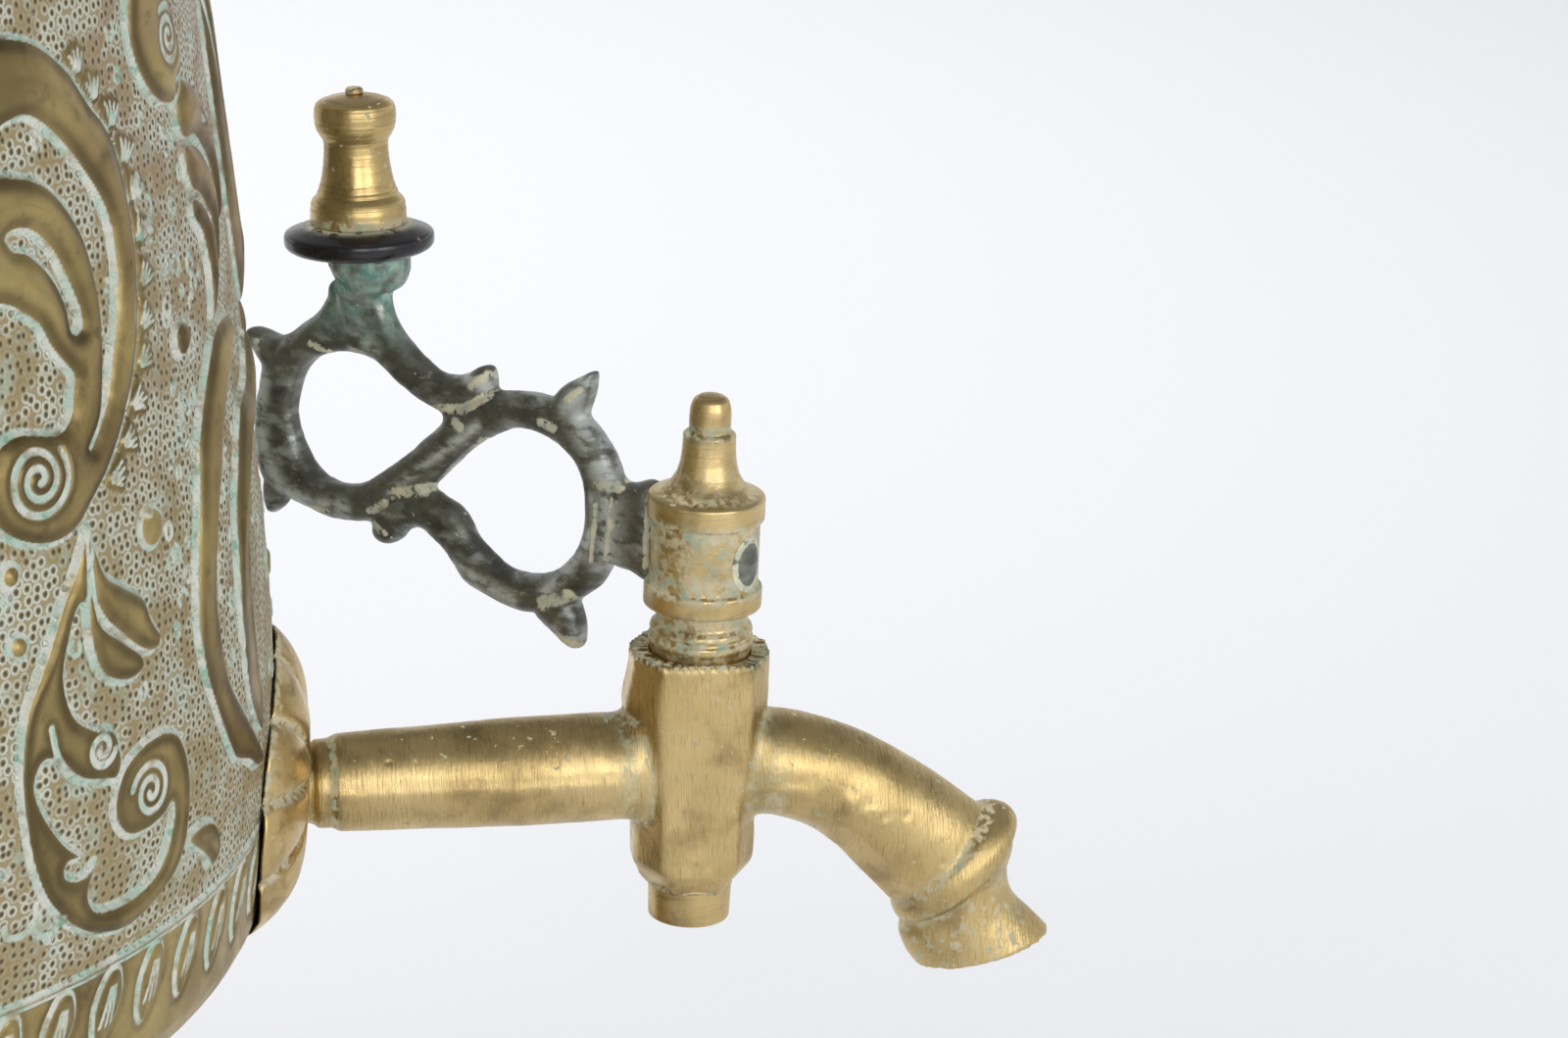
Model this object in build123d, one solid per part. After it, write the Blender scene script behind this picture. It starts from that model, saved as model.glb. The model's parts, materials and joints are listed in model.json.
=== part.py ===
from build123d import *
import os
from math import asin, cos, degrees, hypot, pi, radians, sin

# A charcoal-heated brass samovar of about three litres, in millimetres.
# +Z is up, the origin is on the table under the middle of the plinth, and the tap points to -Y.

# ---- fits shared by several pieces ----
seat_gap = 0.3            # between a lifted-off piece and what it stands on or slips into
slip_gap = 0.6            # round a piece that is dropped into another by hand
turn_gap = 0.05           # running fit of the tap plug and the vent shutter

# ---- plinth, feet and pedestal ----
plinth_width = 132.0
plinth_thickness = 9.0
plinth_corner = 8.0
plinth_step = 7.0         # set-in of the raised upper step
plinth_step_height = 4.0
foot_height = 14.0
foot_radius = 9.5
foot_inset = 15.0
foot_screw_radius = 2.2
foot_screw_depth = 6.0
ash_opening_radius = 34.0
pedestal_height = 62.0
pedestal_wall = 1.4
pedestal_flange_radius = 53.0
pedestal_neck_radius = 41.0
pedestal_top_radius = 50.0
pedestal_flange_thickness = 2.0
pedestal_cap_lap = 3.0    # of the cap ring past the top of the column
draught_hole_radius = 3.6
draught_hole_count = 12
pedestal_screw_radius = 1.6
pedestal_screw_count = 6
pedestal_screw_inset = 4.5
screw_head_radius = 3.0
screw_head_height = 1.8

# ---- water tank ----
tank_wall = 1.3
tank_foot_radius = 80.0
tank_turn_radius = 89.4
tank_turn_height = 5.0
tank_lower_radius = 95.4
tank_lower_height = 17.5
tank_belly_radius = 97.9
tank_belly_height = 55.0
tank_waist_radius = 92.6
tank_waist_height = 124.0
tank_shoulder_radius = 86.0
tank_shoulder_height = 181.0
tank_neck_radius = 72.0
tank_neck_rise = 22.0     # of the neck over the shoulder
tank_neck_height = tank_shoulder_height + tank_neck_rise
tank_neck_round = 7.0     # under the neck, where the shoulder turns up into it
tank_neck_flare = 5.0
seam_thickness = 1.6
seam_inner_lap = 8.0      # of the seam strip over the floor
seam_outer_lap = 4.0      # and up the turn of the tank

# ---- fire tube and grate ----
tube_foot_radius = 32.0
tube_top_radius = 25.0
tube_wall = 1.6
tube_drop = 22.0          # how far the tube hangs under the tank floor
tube_rise = 47.0          # how far it stands above the tank neck
tube_bead = 1.2
tube_bead_height = 3.0
grate_height = 9.0        # of the ledge above the tube's lower end
grate_ledge = 3.0
grate_thickness = 3.5
grate_slot_width = 3.2
grate_slot_count = 7
grate_gap = 0.5

# ---- shoulder ring and lid ----
ring_radius = 79.0
ring_height = 8.0
ring_lip_depth = 5.0
ring_lip = 1.6
lid_radius = 75.0
lid_wall = 1.4
lid_rim_height = 3.5
lid_dome_height = 19.0
lid_throat_height = 6.0
lid_skirt_depth = 6.0
lid_knob_radius_out = 55.0   # of the two lid knobs from the axis
lid_knob_angle = 0.0
vent_radius_out = 52.0

# ---- turned knobs with their black discs ----
knob_base_radius = 7.1
knob_base_height = 4.4
knob_waist_radius = 4.7
knob_waist_height = 13.3
knob_bulb_radius = 6.0
knob_height = 20.3
disc_radius = 11.1
disc_thickness = 4.2
stud_radius = 1.2
stud_depth = 5.0
stud_proud = 0.9
lid_boss_radius = 6.0
lid_boss_height = 5.0

# ---- steam vent ----
vent_seat_radius = 5.5
vent_seat_height = 8.0
vent_seat_bore = 2.6
vent_cap_wall = 1.2
vent_cap_height = 6.5
vent_hole_radius = 1.1
vent_button_radius = 3.0

# ---- crown and damper cap ----
crown_height = 34.0
crown_disc_radius = 37.0
crown_disc_thickness = 2.0
crown_opening_radius = 19.0
crown_spigot_depth = 9.0
crown_spigot_wall = 1.6
crown_ring_radius = 46.0
crown_ring_width = 7.0
crown_ring_thickness = 3.0
crown_strut_count = 6
crown_strut_width = 7.0
crown_strut_thickness = 2.4
cap_overlap = 5.0
cap_thickness = 1.6
cap_dome_height = 5.0
cap_lip_depth = 5.0

# ---- side handles ----
handle_height = 134.0     # of the mounting pads above the tank bottom
pad_half_width = 31.0
pad_half_height = 13.0
pad_thickness = 2.6
arm_spacing = 62.0
arm_thickness = 7.0
arm_reach = 34.0
arm_rise = 24.0
arm_bar = 4.0             # half the width of an arm
eye_radius = 6.5
grip_radius = 8.6
grip_end_radius = 5.2
rod_radius = 2.2
rod_nut_radius = 5.0
rod_nut_length = 7.5
rivet_radius = 1.7
rivet_head_radius = 3.4
rivet_head_height = 1.7

# ---- tap: its own frame has x out along the pipe and z up the plug ----
tap_reach = 157.6         # from the samovar's axis to the plug
tap_height = 23.2         # of the pipe above the tank bottom
tap_droop = 0.4           # degrees that the spout hangs below level
plug_lean = 2.4           # degrees that the housing leans out from square to the pipe
pipe_radius_back = 7.0
pipe_radius_front = 7.8
pipe_neck_radius = 6.4
pipe_neck_length = 2.4
tail_radius = 5.6
tail_past_nut = 4.0
pipe_taper_length = 26.0
water_bore_radius = 3.6
housing_top = 17.5
housing_top_radius = 9.9
housing_mid_radius = 8.85
housing_shoulder = -14.6
housing_shoulder_radius = 8.4
housing_bottom = -19.0
housing_bottom_radius = 7.0
rosette_radius = 23.7
rosette_height = 6.4
rosette_tilt = 5.2        # degrees that it leans out at the top, to lie on the tank
rosette_wall = 1.2
rosette_petals = 12
back_nut_radius = 9.0
back_nut_length = 6.0
gasket_radius = 9.6
gasket_least = 0.8        # thickness of the leather where the tank wall comes nearest
spout_wall = 2.6
spout_end_half_height = 10.0
spout_end_half_width = 7.7
spout_ring_rise = 0.9

# ---- tap plug ----
plug_top_radius = 7.2
plug_bottom_radius = 5.9
plug_tip = -23.7
plug_port_radius = 3.0
plug_port_angle = 90.0    # of its port from the pipe while the key stands as built: shut
head_ring_radius = 7.55
head_groove_radius = 6.6
head_groove_bottom = 21.8
lower_collar_bottom = 24.2
lower_collar_top = 27.3
lower_collar_radius = 8.45
barrel_radius = 7.75
upper_collar_bottom = 37.3
upper_collar_top = 40.5
upper_collar_radius = 8.35
finial_neck_radius = 3.75
finial_neck_top = 49.8
button_radius = 2.95
button_top = 55.3

# ---- key handle, drawn in the upright plane that it stands in: u out from the plug, z up ----
key_angle = 134.0         # from straight out along the spout
key_thickness = 4.4
tenon_width = 4.6
tenon_height = 6.2
tenon_centre = 31.9
tongue_top = 38.7
tongue_bottom = 26.3
tongue_thickness = 4.0
tongue_reach = 19.5       # into the scroll, from the plug's axis
knob_reach = 65.4
knob_seat = 62.4
knob_lean = 3.9           # degrees outwards
key_neck_radius = 3.7
key_neck_flare = 5.9
key_neck_length = 13.5

# ---- heights that follow ----
plinth_top = foot_height + plinth_thickness + plinth_step_height
tank_bottom = plinth_top + pedestal_height
neck_top = tank_bottom + tank_neck_height
tube_bottom = tank_bottom - tube_drop
tube_top = neck_top + tube_rise
ring_top = neck_top + ring_height

os.makedirs("parts", exist_ok=True)


def save(name, shape):
    """Write one sub-part as a STEP file."""
    if isinstance(shape, (list, tuple, ShapeList)):
        shape = Compound(children=list(shape))
    export_step(shape, f"parts/{name}.step")


def turned(outline):
    """A solid of revolution about Z from a closed outline of (radius, height) corners."""
    return revolve(Plane.XZ * make_face(Polyline(*outline, close=True)), Axis.Z)


def round_bar(radius, bottom, top):
    """An upright round bar between two heights."""
    return Pos(0, 0, bottom) * Cylinder(radius, top - bottom, align=(Align.CENTER, Align.CENTER, Align.MIN))


def cone_bar(radius_low, radius_high, bottom, top):
    """An upright tapered bar between two heights."""
    return turned([(0, bottom), (radius_low, bottom), (radius_high, top), (0, top)])


def ring_of(shape, count, start=0.0):
    """Copies of a shape evenly round Z."""
    return [Rot(0, 0, start + 360.0 * i / count) * shape for i in range(count)]


def mirrored_pair(shape):
    """The shape and its half-turn copy on the other side of the samovar."""
    return [shape, Rot(0, 0, 180) * shape]


# ---------------------------------------------------------------- plinth, feet, pedestal
def plinth():
    lower = Pos(0, 0, foot_height) * extrude(
        RectangleRounded(plinth_width, plinth_width, plinth_corner), plinth_thickness)
    step_width = plinth_width - 2 * plinth_step
    step = Pos(0, 0, foot_height + plinth_thickness) * extrude(
        RectangleRounded(step_width, step_width, plinth_corner), plinth_step_height)
    body = lower + step - round_bar(ash_opening_radius, foot_height - 1, plinth_top + 1)
    for x, y in foot_places():
        body -= Pos(x, y, 0) * round_bar(foot_screw_radius, foot_height - 1, foot_height + foot_screw_depth)
    for screw in pedestal_screw_shanks():
        body -= screw
    return body


def foot_places():
    reach = plinth_width / 2 - foot_inset
    return [(x, y) for x in (-reach, reach) for y in (-reach, reach)]


def foot():
    """A cast bun foot with a screwed spigot."""
    bun = turned([(0, 0), (foot_radius * 0.62, 0), (foot_radius * 0.94, foot_height * 0.18),
                  (foot_radius, foot_height * 0.42), (foot_radius * 0.86, foot_height * 0.66),
                  (foot_radius * 0.55, foot_height * 0.78), (foot_radius * 0.62, foot_height),
                  (0, foot_height)])
    spigot = round_bar(foot_screw_radius, foot_height, foot_height + foot_screw_depth)
    return bun + spigot


def pedestal_outline(shift):
    """The pedestal's concave side, moved in by shift."""
    low = plinth_top + pedestal_flange_thickness
    high = tank_bottom - pedestal_flange_thickness
    span = high - low
    return [(pedestal_flange_radius - 9.0 - shift, low),
            (pedestal_neck_radius + 1.2 - shift, low + span * 0.22),
            (pedestal_neck_radius - shift, low + span * 0.48),
            (pedestal_neck_radius + 2.0 - shift, low + span * 0.76),
            (pedestal_top_radius - shift, high)]


def pedestal_base_ring():
    """The flat ring that the pedestal stands on, screwed to the plinth."""
    inner = pedestal_outline(pedestal_wall)[0][0]
    ring = turned([(inner, plinth_top), (pedestal_flange_radius, plinth_top),
                   (pedestal_flange_radius, plinth_top + pedestal_flange_thickness),
                   (inner, plinth_top + pedestal_flange_thickness)])
    for screw in pedestal_screw_shanks():
        ring -= screw
    return ring


def pedestal_cap_ring():
    """The flat ring between the pedestal and the tank, soldered to both."""
    inner = pedestal_outline(pedestal_wall)[-1][0]
    outer = pedestal_top_radius + pedestal_cap_lap
    return turned([(inner, tank_bottom - pedestal_flange_thickness),
                   (outer, tank_bottom - pedestal_flange_thickness), (outer, tank_bottom),
                   (inner, tank_bottom)])


def pedestal():
    """The waisted sheet column between the two rings, pierced for draught."""
    body = turned(pedestal_outline(0) + pedestal_outline(pedestal_wall)[::-1])
    height = (plinth_top + tank_bottom) / 2 + 2.0
    drill = Pos(0, 0, height) * Rot(0, 90, 0) * Cylinder(
        draught_hole_radius, pedestal_flange_radius, align=(Align.CENTER, Align.CENTER, Align.MIN))
    for hole in ring_of(drill, draught_hole_count):
        body -= hole
    return body


def pedestal_screw_places():
    reach = pedestal_flange_radius - pedestal_screw_inset
    return [Rot(0, 0, 360.0 * (i + 0.5) / pedestal_screw_count) * Pos(reach, 0, 0)
            for i in range(pedestal_screw_count)]


def pedestal_screw_shanks():
    low = plinth_top - plinth_step_height - 2.0
    return [place * round_bar(pedestal_screw_radius, low, plinth_top + pedestal_flange_thickness)
            for place in pedestal_screw_places()]


def pedestal_screws():
    top = plinth_top + pedestal_flange_thickness
    head = turned([(0, top), (screw_head_radius, top),
                   (screw_head_radius * 0.8, top + screw_head_height * 0.7),
                   (screw_head_radius * 0.4, top + screw_head_height), (0, top + screw_head_height)])
    return [shank + place * head for shank, place in zip(pedestal_screw_shanks(), pedestal_screw_places())]


# ---------------------------------------------------------------- tank
tank_side = [(tank_foot_radius, 0.0),
             (tank_turn_radius - 6.1, 1.2),
             (tank_turn_radius, tank_turn_height),
             (tank_lower_radius - 1.7, tank_turn_height + 5.0),
             (tank_lower_radius, tank_lower_height),
             (tank_belly_radius, tank_belly_height),
             (tank_waist_radius, tank_waist_height),
             (tank_shoulder_radius, tank_shoulder_height),
             (tank_neck_radius + tank_neck_flare, tank_neck_height - tank_neck_round),
             (tank_neck_radius, tank_neck_height)]
side_steps = 4            # points that the side curve has for each stretch between those


def smooth_side(first, second, third, fourth, share):
    """Point and direction between second and third, on a curve that runs smoothly through all four."""
    point, slope = [], []
    for p0, p1, p2, p3 in zip(first, second, third, fourth):
        a, b, c = -p0 + 3 * p1 - 3 * p2 + p3, 2 * p0 - 5 * p1 + 4 * p2 - p3, p2 - p0
        point.append(p1 + (c * share + b * share ** 2 + a * share ** 3) / 2)
        slope.append((c + 2 * b * share + 3 * a * share ** 2) / 2)
    return point, slope


def tank_outline(inset):
    """Points (radius, height) up the tank's side, moved in square to it by inset."""
    ends = [tank_side[0]] + tank_side + [tank_side[-1]]
    outline = []
    for i in range(len(tank_side) - 1):
        for step in range(side_steps + (i == len(tank_side) - 2)):
            (radius, height), slope = smooth_side(*ends[i:i + 4], step / side_steps)
            size = hypot(*slope)
            outline.append((radius - inset * slope[1] / size,
                            tank_bottom + height + inset * slope[0] / size))
    outline[0] = (tank_foot_radius, tank_bottom + inset)
    outline[-1] = (outline[-1][0], neck_top)
    return outline


def tank_filled(inset):
    """The tank as one filled turned solid, with its seam at the back."""
    outline = tank_outline(inset)
    side = Spline(*outline)
    (low_radius, low), (high_radius, high) = outline[0], outline[-1]
    rest = Polyline((high_radius, high), (0, high), (0, low), (low_radius, low))
    return Rot(0, 0, 90) * revolve(Plane.XZ * make_face(side + rest), Axis.Z)


def tank_radius_at(height, inset=0.0):
    """The tank's radius at a height, taken from the points of its own side."""
    outline = tank_outline(inset)
    for (r0, h0), (r1, h1) in zip(outline, outline[1:]):
        if h0 <= height <= h1:
            return r0 + (r1 - r0) * (height - h0) / (h1 - h0)
    return outline[-1][0]


def tap_frame():
    """Place of the tap's own frame in the samovar."""
    lean = radians(tap_droop)
    return Location(Plane(origin=(0, -tap_reach, tap_level()),
                          x_dir=(0, -cos(lean), -sin(lean)), z_dir=(0, -sin(lean), cos(lean))))


def leaned():
    """The plug's lean from square to the pipe, in the tap's frame."""
    return Rot(0, plug_lean, 0)


def plug_frame():
    """Place of the plug's own frame: z up the plug, x outwards over the spout."""
    return tap_frame() * leaned()


def along_pipe(shape):
    """Turn an upright shape so that its +Z runs out along the pipe."""
    return Rot(0, 90, 0) * shape


def tank_sheet():
    """The whole side of the tank as one thin shell, open above and below."""
    return (tank_filled(0) - tank_filled(tank_wall)
            - round_bar(tank_foot_radius, tank_bottom - 1, tank_bottom + tank_wall + 1))


def below_shoulder():
    """A block that holds all of the tank up to the seam under its shoulder."""
    return round_bar(tank_belly_radius + 5, tank_bottom - 5, tank_bottom + tank_shoulder_height)


def tank_shoulder():
    return tank_sheet() - below_shoulder()


def tank_shell():
    shell = tank_sheet() & below_shoulder()
    shell -= tap_frame() * along_pipe(round_bar(tail_radius, -tap_reach, 0))
    for shank in handle_rivet_shanks():
        shell -= shank
    return shell


def tube_radius_at(height):
    """Outside radius of the tapered fire tube."""
    share = (height - tube_bottom) / (tube_top - tube_bottom)
    return tube_foot_radius + (tube_top_radius - tube_foot_radius) * share


def tank_floor():
    low = tank_bottom
    high = tank_bottom + tank_wall
    disc = turned([(tube_radius_at(low), low), (tank_foot_radius, low), (tank_foot_radius, high),
                   (tube_radius_at(high), high)])
    return disc


def floor_ring():
    """The soldered seam strip that laps the floor onto the tank inside."""
    low = tank_bottom + tank_wall
    high = low + seam_thickness
    inner = tank_foot_radius - seam_inner_lap
    outer = tank_foot_radius + seam_outer_lap
    strip = turned([(inner, low), (outer, low), (outer, high), (inner, high)])
    return strip & tank_filled(tank_wall)


def fire_tube():
    outer = [(tube_radius_at(tube_bottom), tube_bottom), (tube_radius_at(tube_top), tube_top)]
    bead = [(tube_top_radius + tube_bead, tube_top),
            (tube_top_radius + tube_bead, tube_top - tube_bead_height),
            (tube_radius_at(tube_top - tube_bead_height), tube_top - tube_bead_height)]
    outline = [(outer[0][0] - tube_wall, tube_bottom), outer[0], bead[2], bead[1], bead[0],
               (tube_top_radius - tube_wall, tube_top)]
    return turned(outline)


def grate_ledge_ring():
    low = tube_bottom + grate_height
    high = low + grate_ledge
    reach = tube_radius_at(low) - tube_wall
    return turned([(reach - grate_ledge, low), (reach, low), (tube_radius_at(high) - tube_wall, high),
                   (reach - grate_ledge, high)])


def grate():
    low = tube_bottom + grate_height + grate_ledge
    reach = tube_radius_at(low + grate_thickness) - tube_wall - grate_gap
    disc = round_bar(reach, low, low + grate_thickness)
    pitch = 2 * reach / (grate_slot_count + 1)
    for i in range(grate_slot_count):
        x = (i - (grate_slot_count - 1) / 2) * pitch
        half = (reach ** 2 - x ** 2) ** 0.5 - 4.0
        slot = extrude(SlotOverall(max(2 * half, 2 * grate_slot_width), grate_slot_width, rotation=90),
                       grate_thickness + 2)
        disc -= Pos(x, 0, low - 1) * slot
    return disc


# ---------------------------------------------------------------- shoulder ring and lid
def shoulder_ring():
    inner = tank_neck_radius - tank_wall
    outline = [(inner - ring_lip, neck_top - ring_lip_depth), (inner, neck_top - ring_lip_depth),
               (inner, neck_top), (ring_radius - 3.0, neck_top), (ring_radius, neck_top + ring_height * 0.3),
               (ring_radius, neck_top + ring_height * 0.6), (ring_radius - 2.0, ring_top),
               (inner - ring_lip, ring_top)]
    return turned(outline)


def lid_height_at(radius):
    """Height of the lid's upper face over its dome."""
    throat = lid_throat_radius()
    share = (radius - throat) / (lid_radius - throat)
    return lid_base() + lid_rim_height + lid_dome_height * (1 - share ** 2) ** 0.5


def lid_base():
    return ring_top + seat_gap


def lid_throat_radius():
    return tube_top_radius + tube_bead + slip_gap + lid_wall


def lid_boss_places():
    return [Rot(0, 0, lid_knob_angle + side) * Pos(lid_knob_radius_out, 0, 0) for side in (0, 180)]


def lid_boss_top():
    return lid_height_at(lid_knob_radius_out) + lid_boss_height


def lid_dome(steps=10):
    """Points (radius, height) up the lid's upper face, from the rim to the throat."""
    throat = lid_throat_radius()
    radii = [lid_radius + (throat - lid_radius) * sin(i / steps * pi / 2) for i in range(steps + 1)]
    return [(radius, lid_height_at(radius)) for radius in radii]


def lid():
    throat = lid_throat_radius()
    dome = lid_dome()
    top = dome[-1][1]
    skirt_radius = tank_neck_radius - tank_wall - ring_lip - slip_gap
    under = [(radius, height - lid_wall) for radius, height in dome if radius < lid_radius - lid_wall]
    outline = ([(lid_radius, lid_base())] + dome
               + [(throat, top + lid_throat_height), (throat - lid_wall, top + lid_throat_height),
                  (throat - lid_wall, top - lid_wall)] + under[::-1]
               + [(lid_radius - lid_wall, lid_base() + lid_wall),
                  (skirt_radius - lid_wall, lid_base() + lid_wall),
                  (skirt_radius - lid_wall, lid_base() - lid_skirt_depth),
                  (skirt_radius, lid_base() - lid_skirt_depth), (skirt_radius, lid_base())])
    body = turned(outline)
    for place in lid_boss_places():
        boss = place * round_bar(lid_boss_radius, lid_boss_top() - 2 * lid_boss_height, lid_boss_top())
        body += boss - lid_cover()
        body -= place * round_bar(stud_radius, lid_boss_top() - stud_depth, lid_boss_top() + 1)
    return body - vent_place() * round_bar(vent_seat_bore, lid_base() - lid_skirt_depth, vent_seat_top())


def lid_cover():
    """Everything under the lid's upper face, as a filled solid."""
    dome = lid_dome()
    low = lid_base() - lid_skirt_depth
    return turned([(0, low), (lid_radius, low)] + dome + [(0, dome[-1][1])])


# ---------------------------------------------------------------- turned knobs
def knob_disc(seat):
    """A black turned disc with rounded edges, its underside at height seat."""
    half = disc_thickness / 2
    rim = [(disc_radius - half * (1 - cos(a)), seat + half + half * sin(a))
           for a in (radians(-90 + 30 * i) for i in range(7))]
    return turned([(stud_radius, seat)] + rim + [(stud_radius, seat + disc_thickness)])


def knob(seat):
    """A turned brass knob standing on its disc, its underside at height seat."""
    waist = seat + knob_waist_height
    top = seat + knob_height
    outline = [(stud_radius, seat), (knob_base_radius, seat), (knob_base_radius, seat + knob_base_height),
               (knob_base_radius - 0.9, seat + knob_base_height + 1.4)]
    low_z = seat + knob_base_height + 1.4
    for i in (1, 2, 3, 4):
        share = i / 5
        start = knob_base_radius - 0.9
        radius = start + (knob_waist_radius - start) * (1 - (1 - share) ** 2)
        outline.append((radius, low_z + (waist - low_z) * share))
    outline += [(knob_waist_radius, waist), (knob_bulb_radius, waist + 2.0), (knob_bulb_radius, top - 2.6),
                (knob_bulb_radius - 0.8, top - 1.3), (knob_bulb_radius * 0.55, top - 0.3),
                (stud_radius, top)]
    return turned(outline)


def knob_stud(seat):
    """The riveted stud that holds a knob and its disc on the face at height seat."""
    return round_bar(stud_radius, seat - stud_depth, seat + disc_thickness + knob_height + stud_proud)


# ---------------------------------------------------------------- steam vent
def vent_place():
    return Pos(0, -vent_radius_out, 0)


def vent_seat_top():
    return lid_height_at(vent_radius_out) + vent_seat_height


def vent_seat():
    """A short brass pipe on the lid, closed on top, with a side hole that the shutter covers."""
    low = lid_height_at(vent_radius_out + vent_seat_radius) - 1.0
    pipe = vent_place() * round_bar(vent_seat_radius, low, vent_seat_top()) - lid_cover()
    pipe -= vent_place() * round_bar(vent_seat_bore, low - 1.0, vent_seat_top() - vent_cap_wall)
    side = vent_place() * Pos(0, 0, vent_hole_level()) * Rot(90, 0, 0) * Cylinder(
        vent_hole_radius, 2 * vent_seat_radius + 4)
    return pipe - side


def vent_hole_level():
    return vent_seat_top() - 3.5


def vent_cap():
    """The rotating shutter: a thimble with one steam hole and a button."""
    top = vent_seat_top() + seat_gap
    inner = vent_seat_radius + turn_gap
    outer = inner + vent_cap_wall
    body = turned([(inner, top - vent_cap_height), (outer, top - vent_cap_height),
                   (outer, top + vent_cap_wall * 0.5), (outer - 0.8, top + vent_cap_wall),
                   (vent_button_radius * 0.6, top + vent_cap_wall), (vent_button_radius * 0.6, top + 2.6),
                   (vent_button_radius, top + 3.8), (vent_button_radius, top + 5.2),
                   (vent_button_radius * 0.6, top + 6.4), (0, top + 6.4), (0, top), (inner, top)])
    hole = Pos(0, 0, vent_hole_level()) * Rot(0, 90, 0) * Cylinder(
        vent_hole_radius, 2 * outer, align=(Align.CENTER, Align.CENTER, Align.MIN))
    return vent_place() * (body - hole)


# ---------------------------------------------------------------- crown and damper cap
def crown_base():
    return tube_top + seat_gap


def crown_seat():
    """The crown's flat disc and the short spigot that drops into the fire tube."""
    low = crown_base()
    spigot_radius = tube_top_radius - tube_wall - slip_gap
    spigot = turned([(spigot_radius - crown_spigot_wall, low - crown_spigot_depth),
                     (spigot_radius, low - crown_spigot_depth), (spigot_radius, low + 0.5),
                     (spigot_radius - crown_spigot_wall, low + 0.5)])
    disc = turned([(crown_opening_radius, low), (crown_disc_radius, low),
                   (crown_disc_radius, low + crown_disc_thickness),
                   (crown_opening_radius, low + crown_disc_thickness)])
    return spigot + disc


def crown_ring():
    """The gallery ring that a teapot stands on."""
    top = crown_base() + crown_height
    inner = crown_ring_radius - crown_ring_width
    return turned([(inner, top - crown_ring_thickness), (crown_ring_radius - 1.0, top - crown_ring_thickness),
                   (crown_ring_radius, top - crown_ring_thickness / 2), (crown_ring_radius - 1.0, top),
                   (inner + 1.0, top), (inner, top - 1.0)])


def crown_struts():
    """The bowed struts, soldered into the disc's edge below and the ring above."""
    strut = crown_strut() - crown_seat() - crown_ring()
    return ring_of(strut, crown_strut_count, 180 / crown_strut_count)


def crown_strut():
    """One bowed strut from the disc's edge up to the ring, cut from sheet."""
    low = crown_base()
    top = low + crown_height
    start = crown_disc_radius - 2.0
    end = crown_ring_radius - crown_ring_width / 2
    foot_z = low + crown_disc_thickness / 2
    head_z = top - crown_ring_thickness / 2
    bow = (start + 6.5, foot_z + (head_z - foot_z) * 0.42)
    line = ThreePointArc((start, foot_z), bow, (end, head_z))
    half = crown_strut_thickness / 2
    back = ThreePointArc((start - 2 * half, foot_z), (bow[0] - 2 * half, bow[1]), (end - 2 * half, head_z))
    face = make_face(line + Line(line @ 1, back @ 1) + back + Line(back @ 0, line @ 0))
    return extrude(Plane.XZ * face, crown_strut_width / 2, both=True)


def cap_base():
    return crown_base() + crown_disc_thickness + seat_gap


def cap_top():
    return cap_base() + cap_thickness + cap_dome_height


def damper_cap():
    """The cap that smothers the fire, with a lip that drops into the crown."""
    radius = crown_opening_radius + cap_overlap
    base = cap_base()
    spigot_inner = tube_top_radius - tube_wall - slip_gap - crown_spigot_wall
    lip = min(crown_opening_radius, spigot_inner) - slip_gap
    dome = [(radius, base), (radius, base + cap_thickness)]
    for share in (0.2, 0.4, 0.6, 0.8, 0.95):
        dome.append((radius + (lid_boss_radius - radius) * share,
                     base + cap_thickness + cap_dome_height * sin(share * pi / 2)))
    dome += [(lid_boss_radius, cap_top()), (0, cap_top())]
    outline = dome + [(0, base + cap_thickness * 0.5 + 0.3),
                      (lip - cap_thickness, base + cap_thickness * 0.5),
                      (lip - cap_thickness, base - cap_lip_depth), (lip, base - cap_lip_depth), (lip, base)]
    return turned(outline) - round_bar(stud_radius, cap_top() - stud_depth, cap_top() + 1)


# ---------------------------------------------------------------- side handles
def handle_level():
    return tank_bottom + handle_height


def handle_wall():
    return tank_radius_at(handle_level())


def handle_eye():
    """Middle of the eye that holds the grip rod, as (x, z)."""
    return handle_wall() + arm_reach, handle_level() + arm_rise


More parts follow.
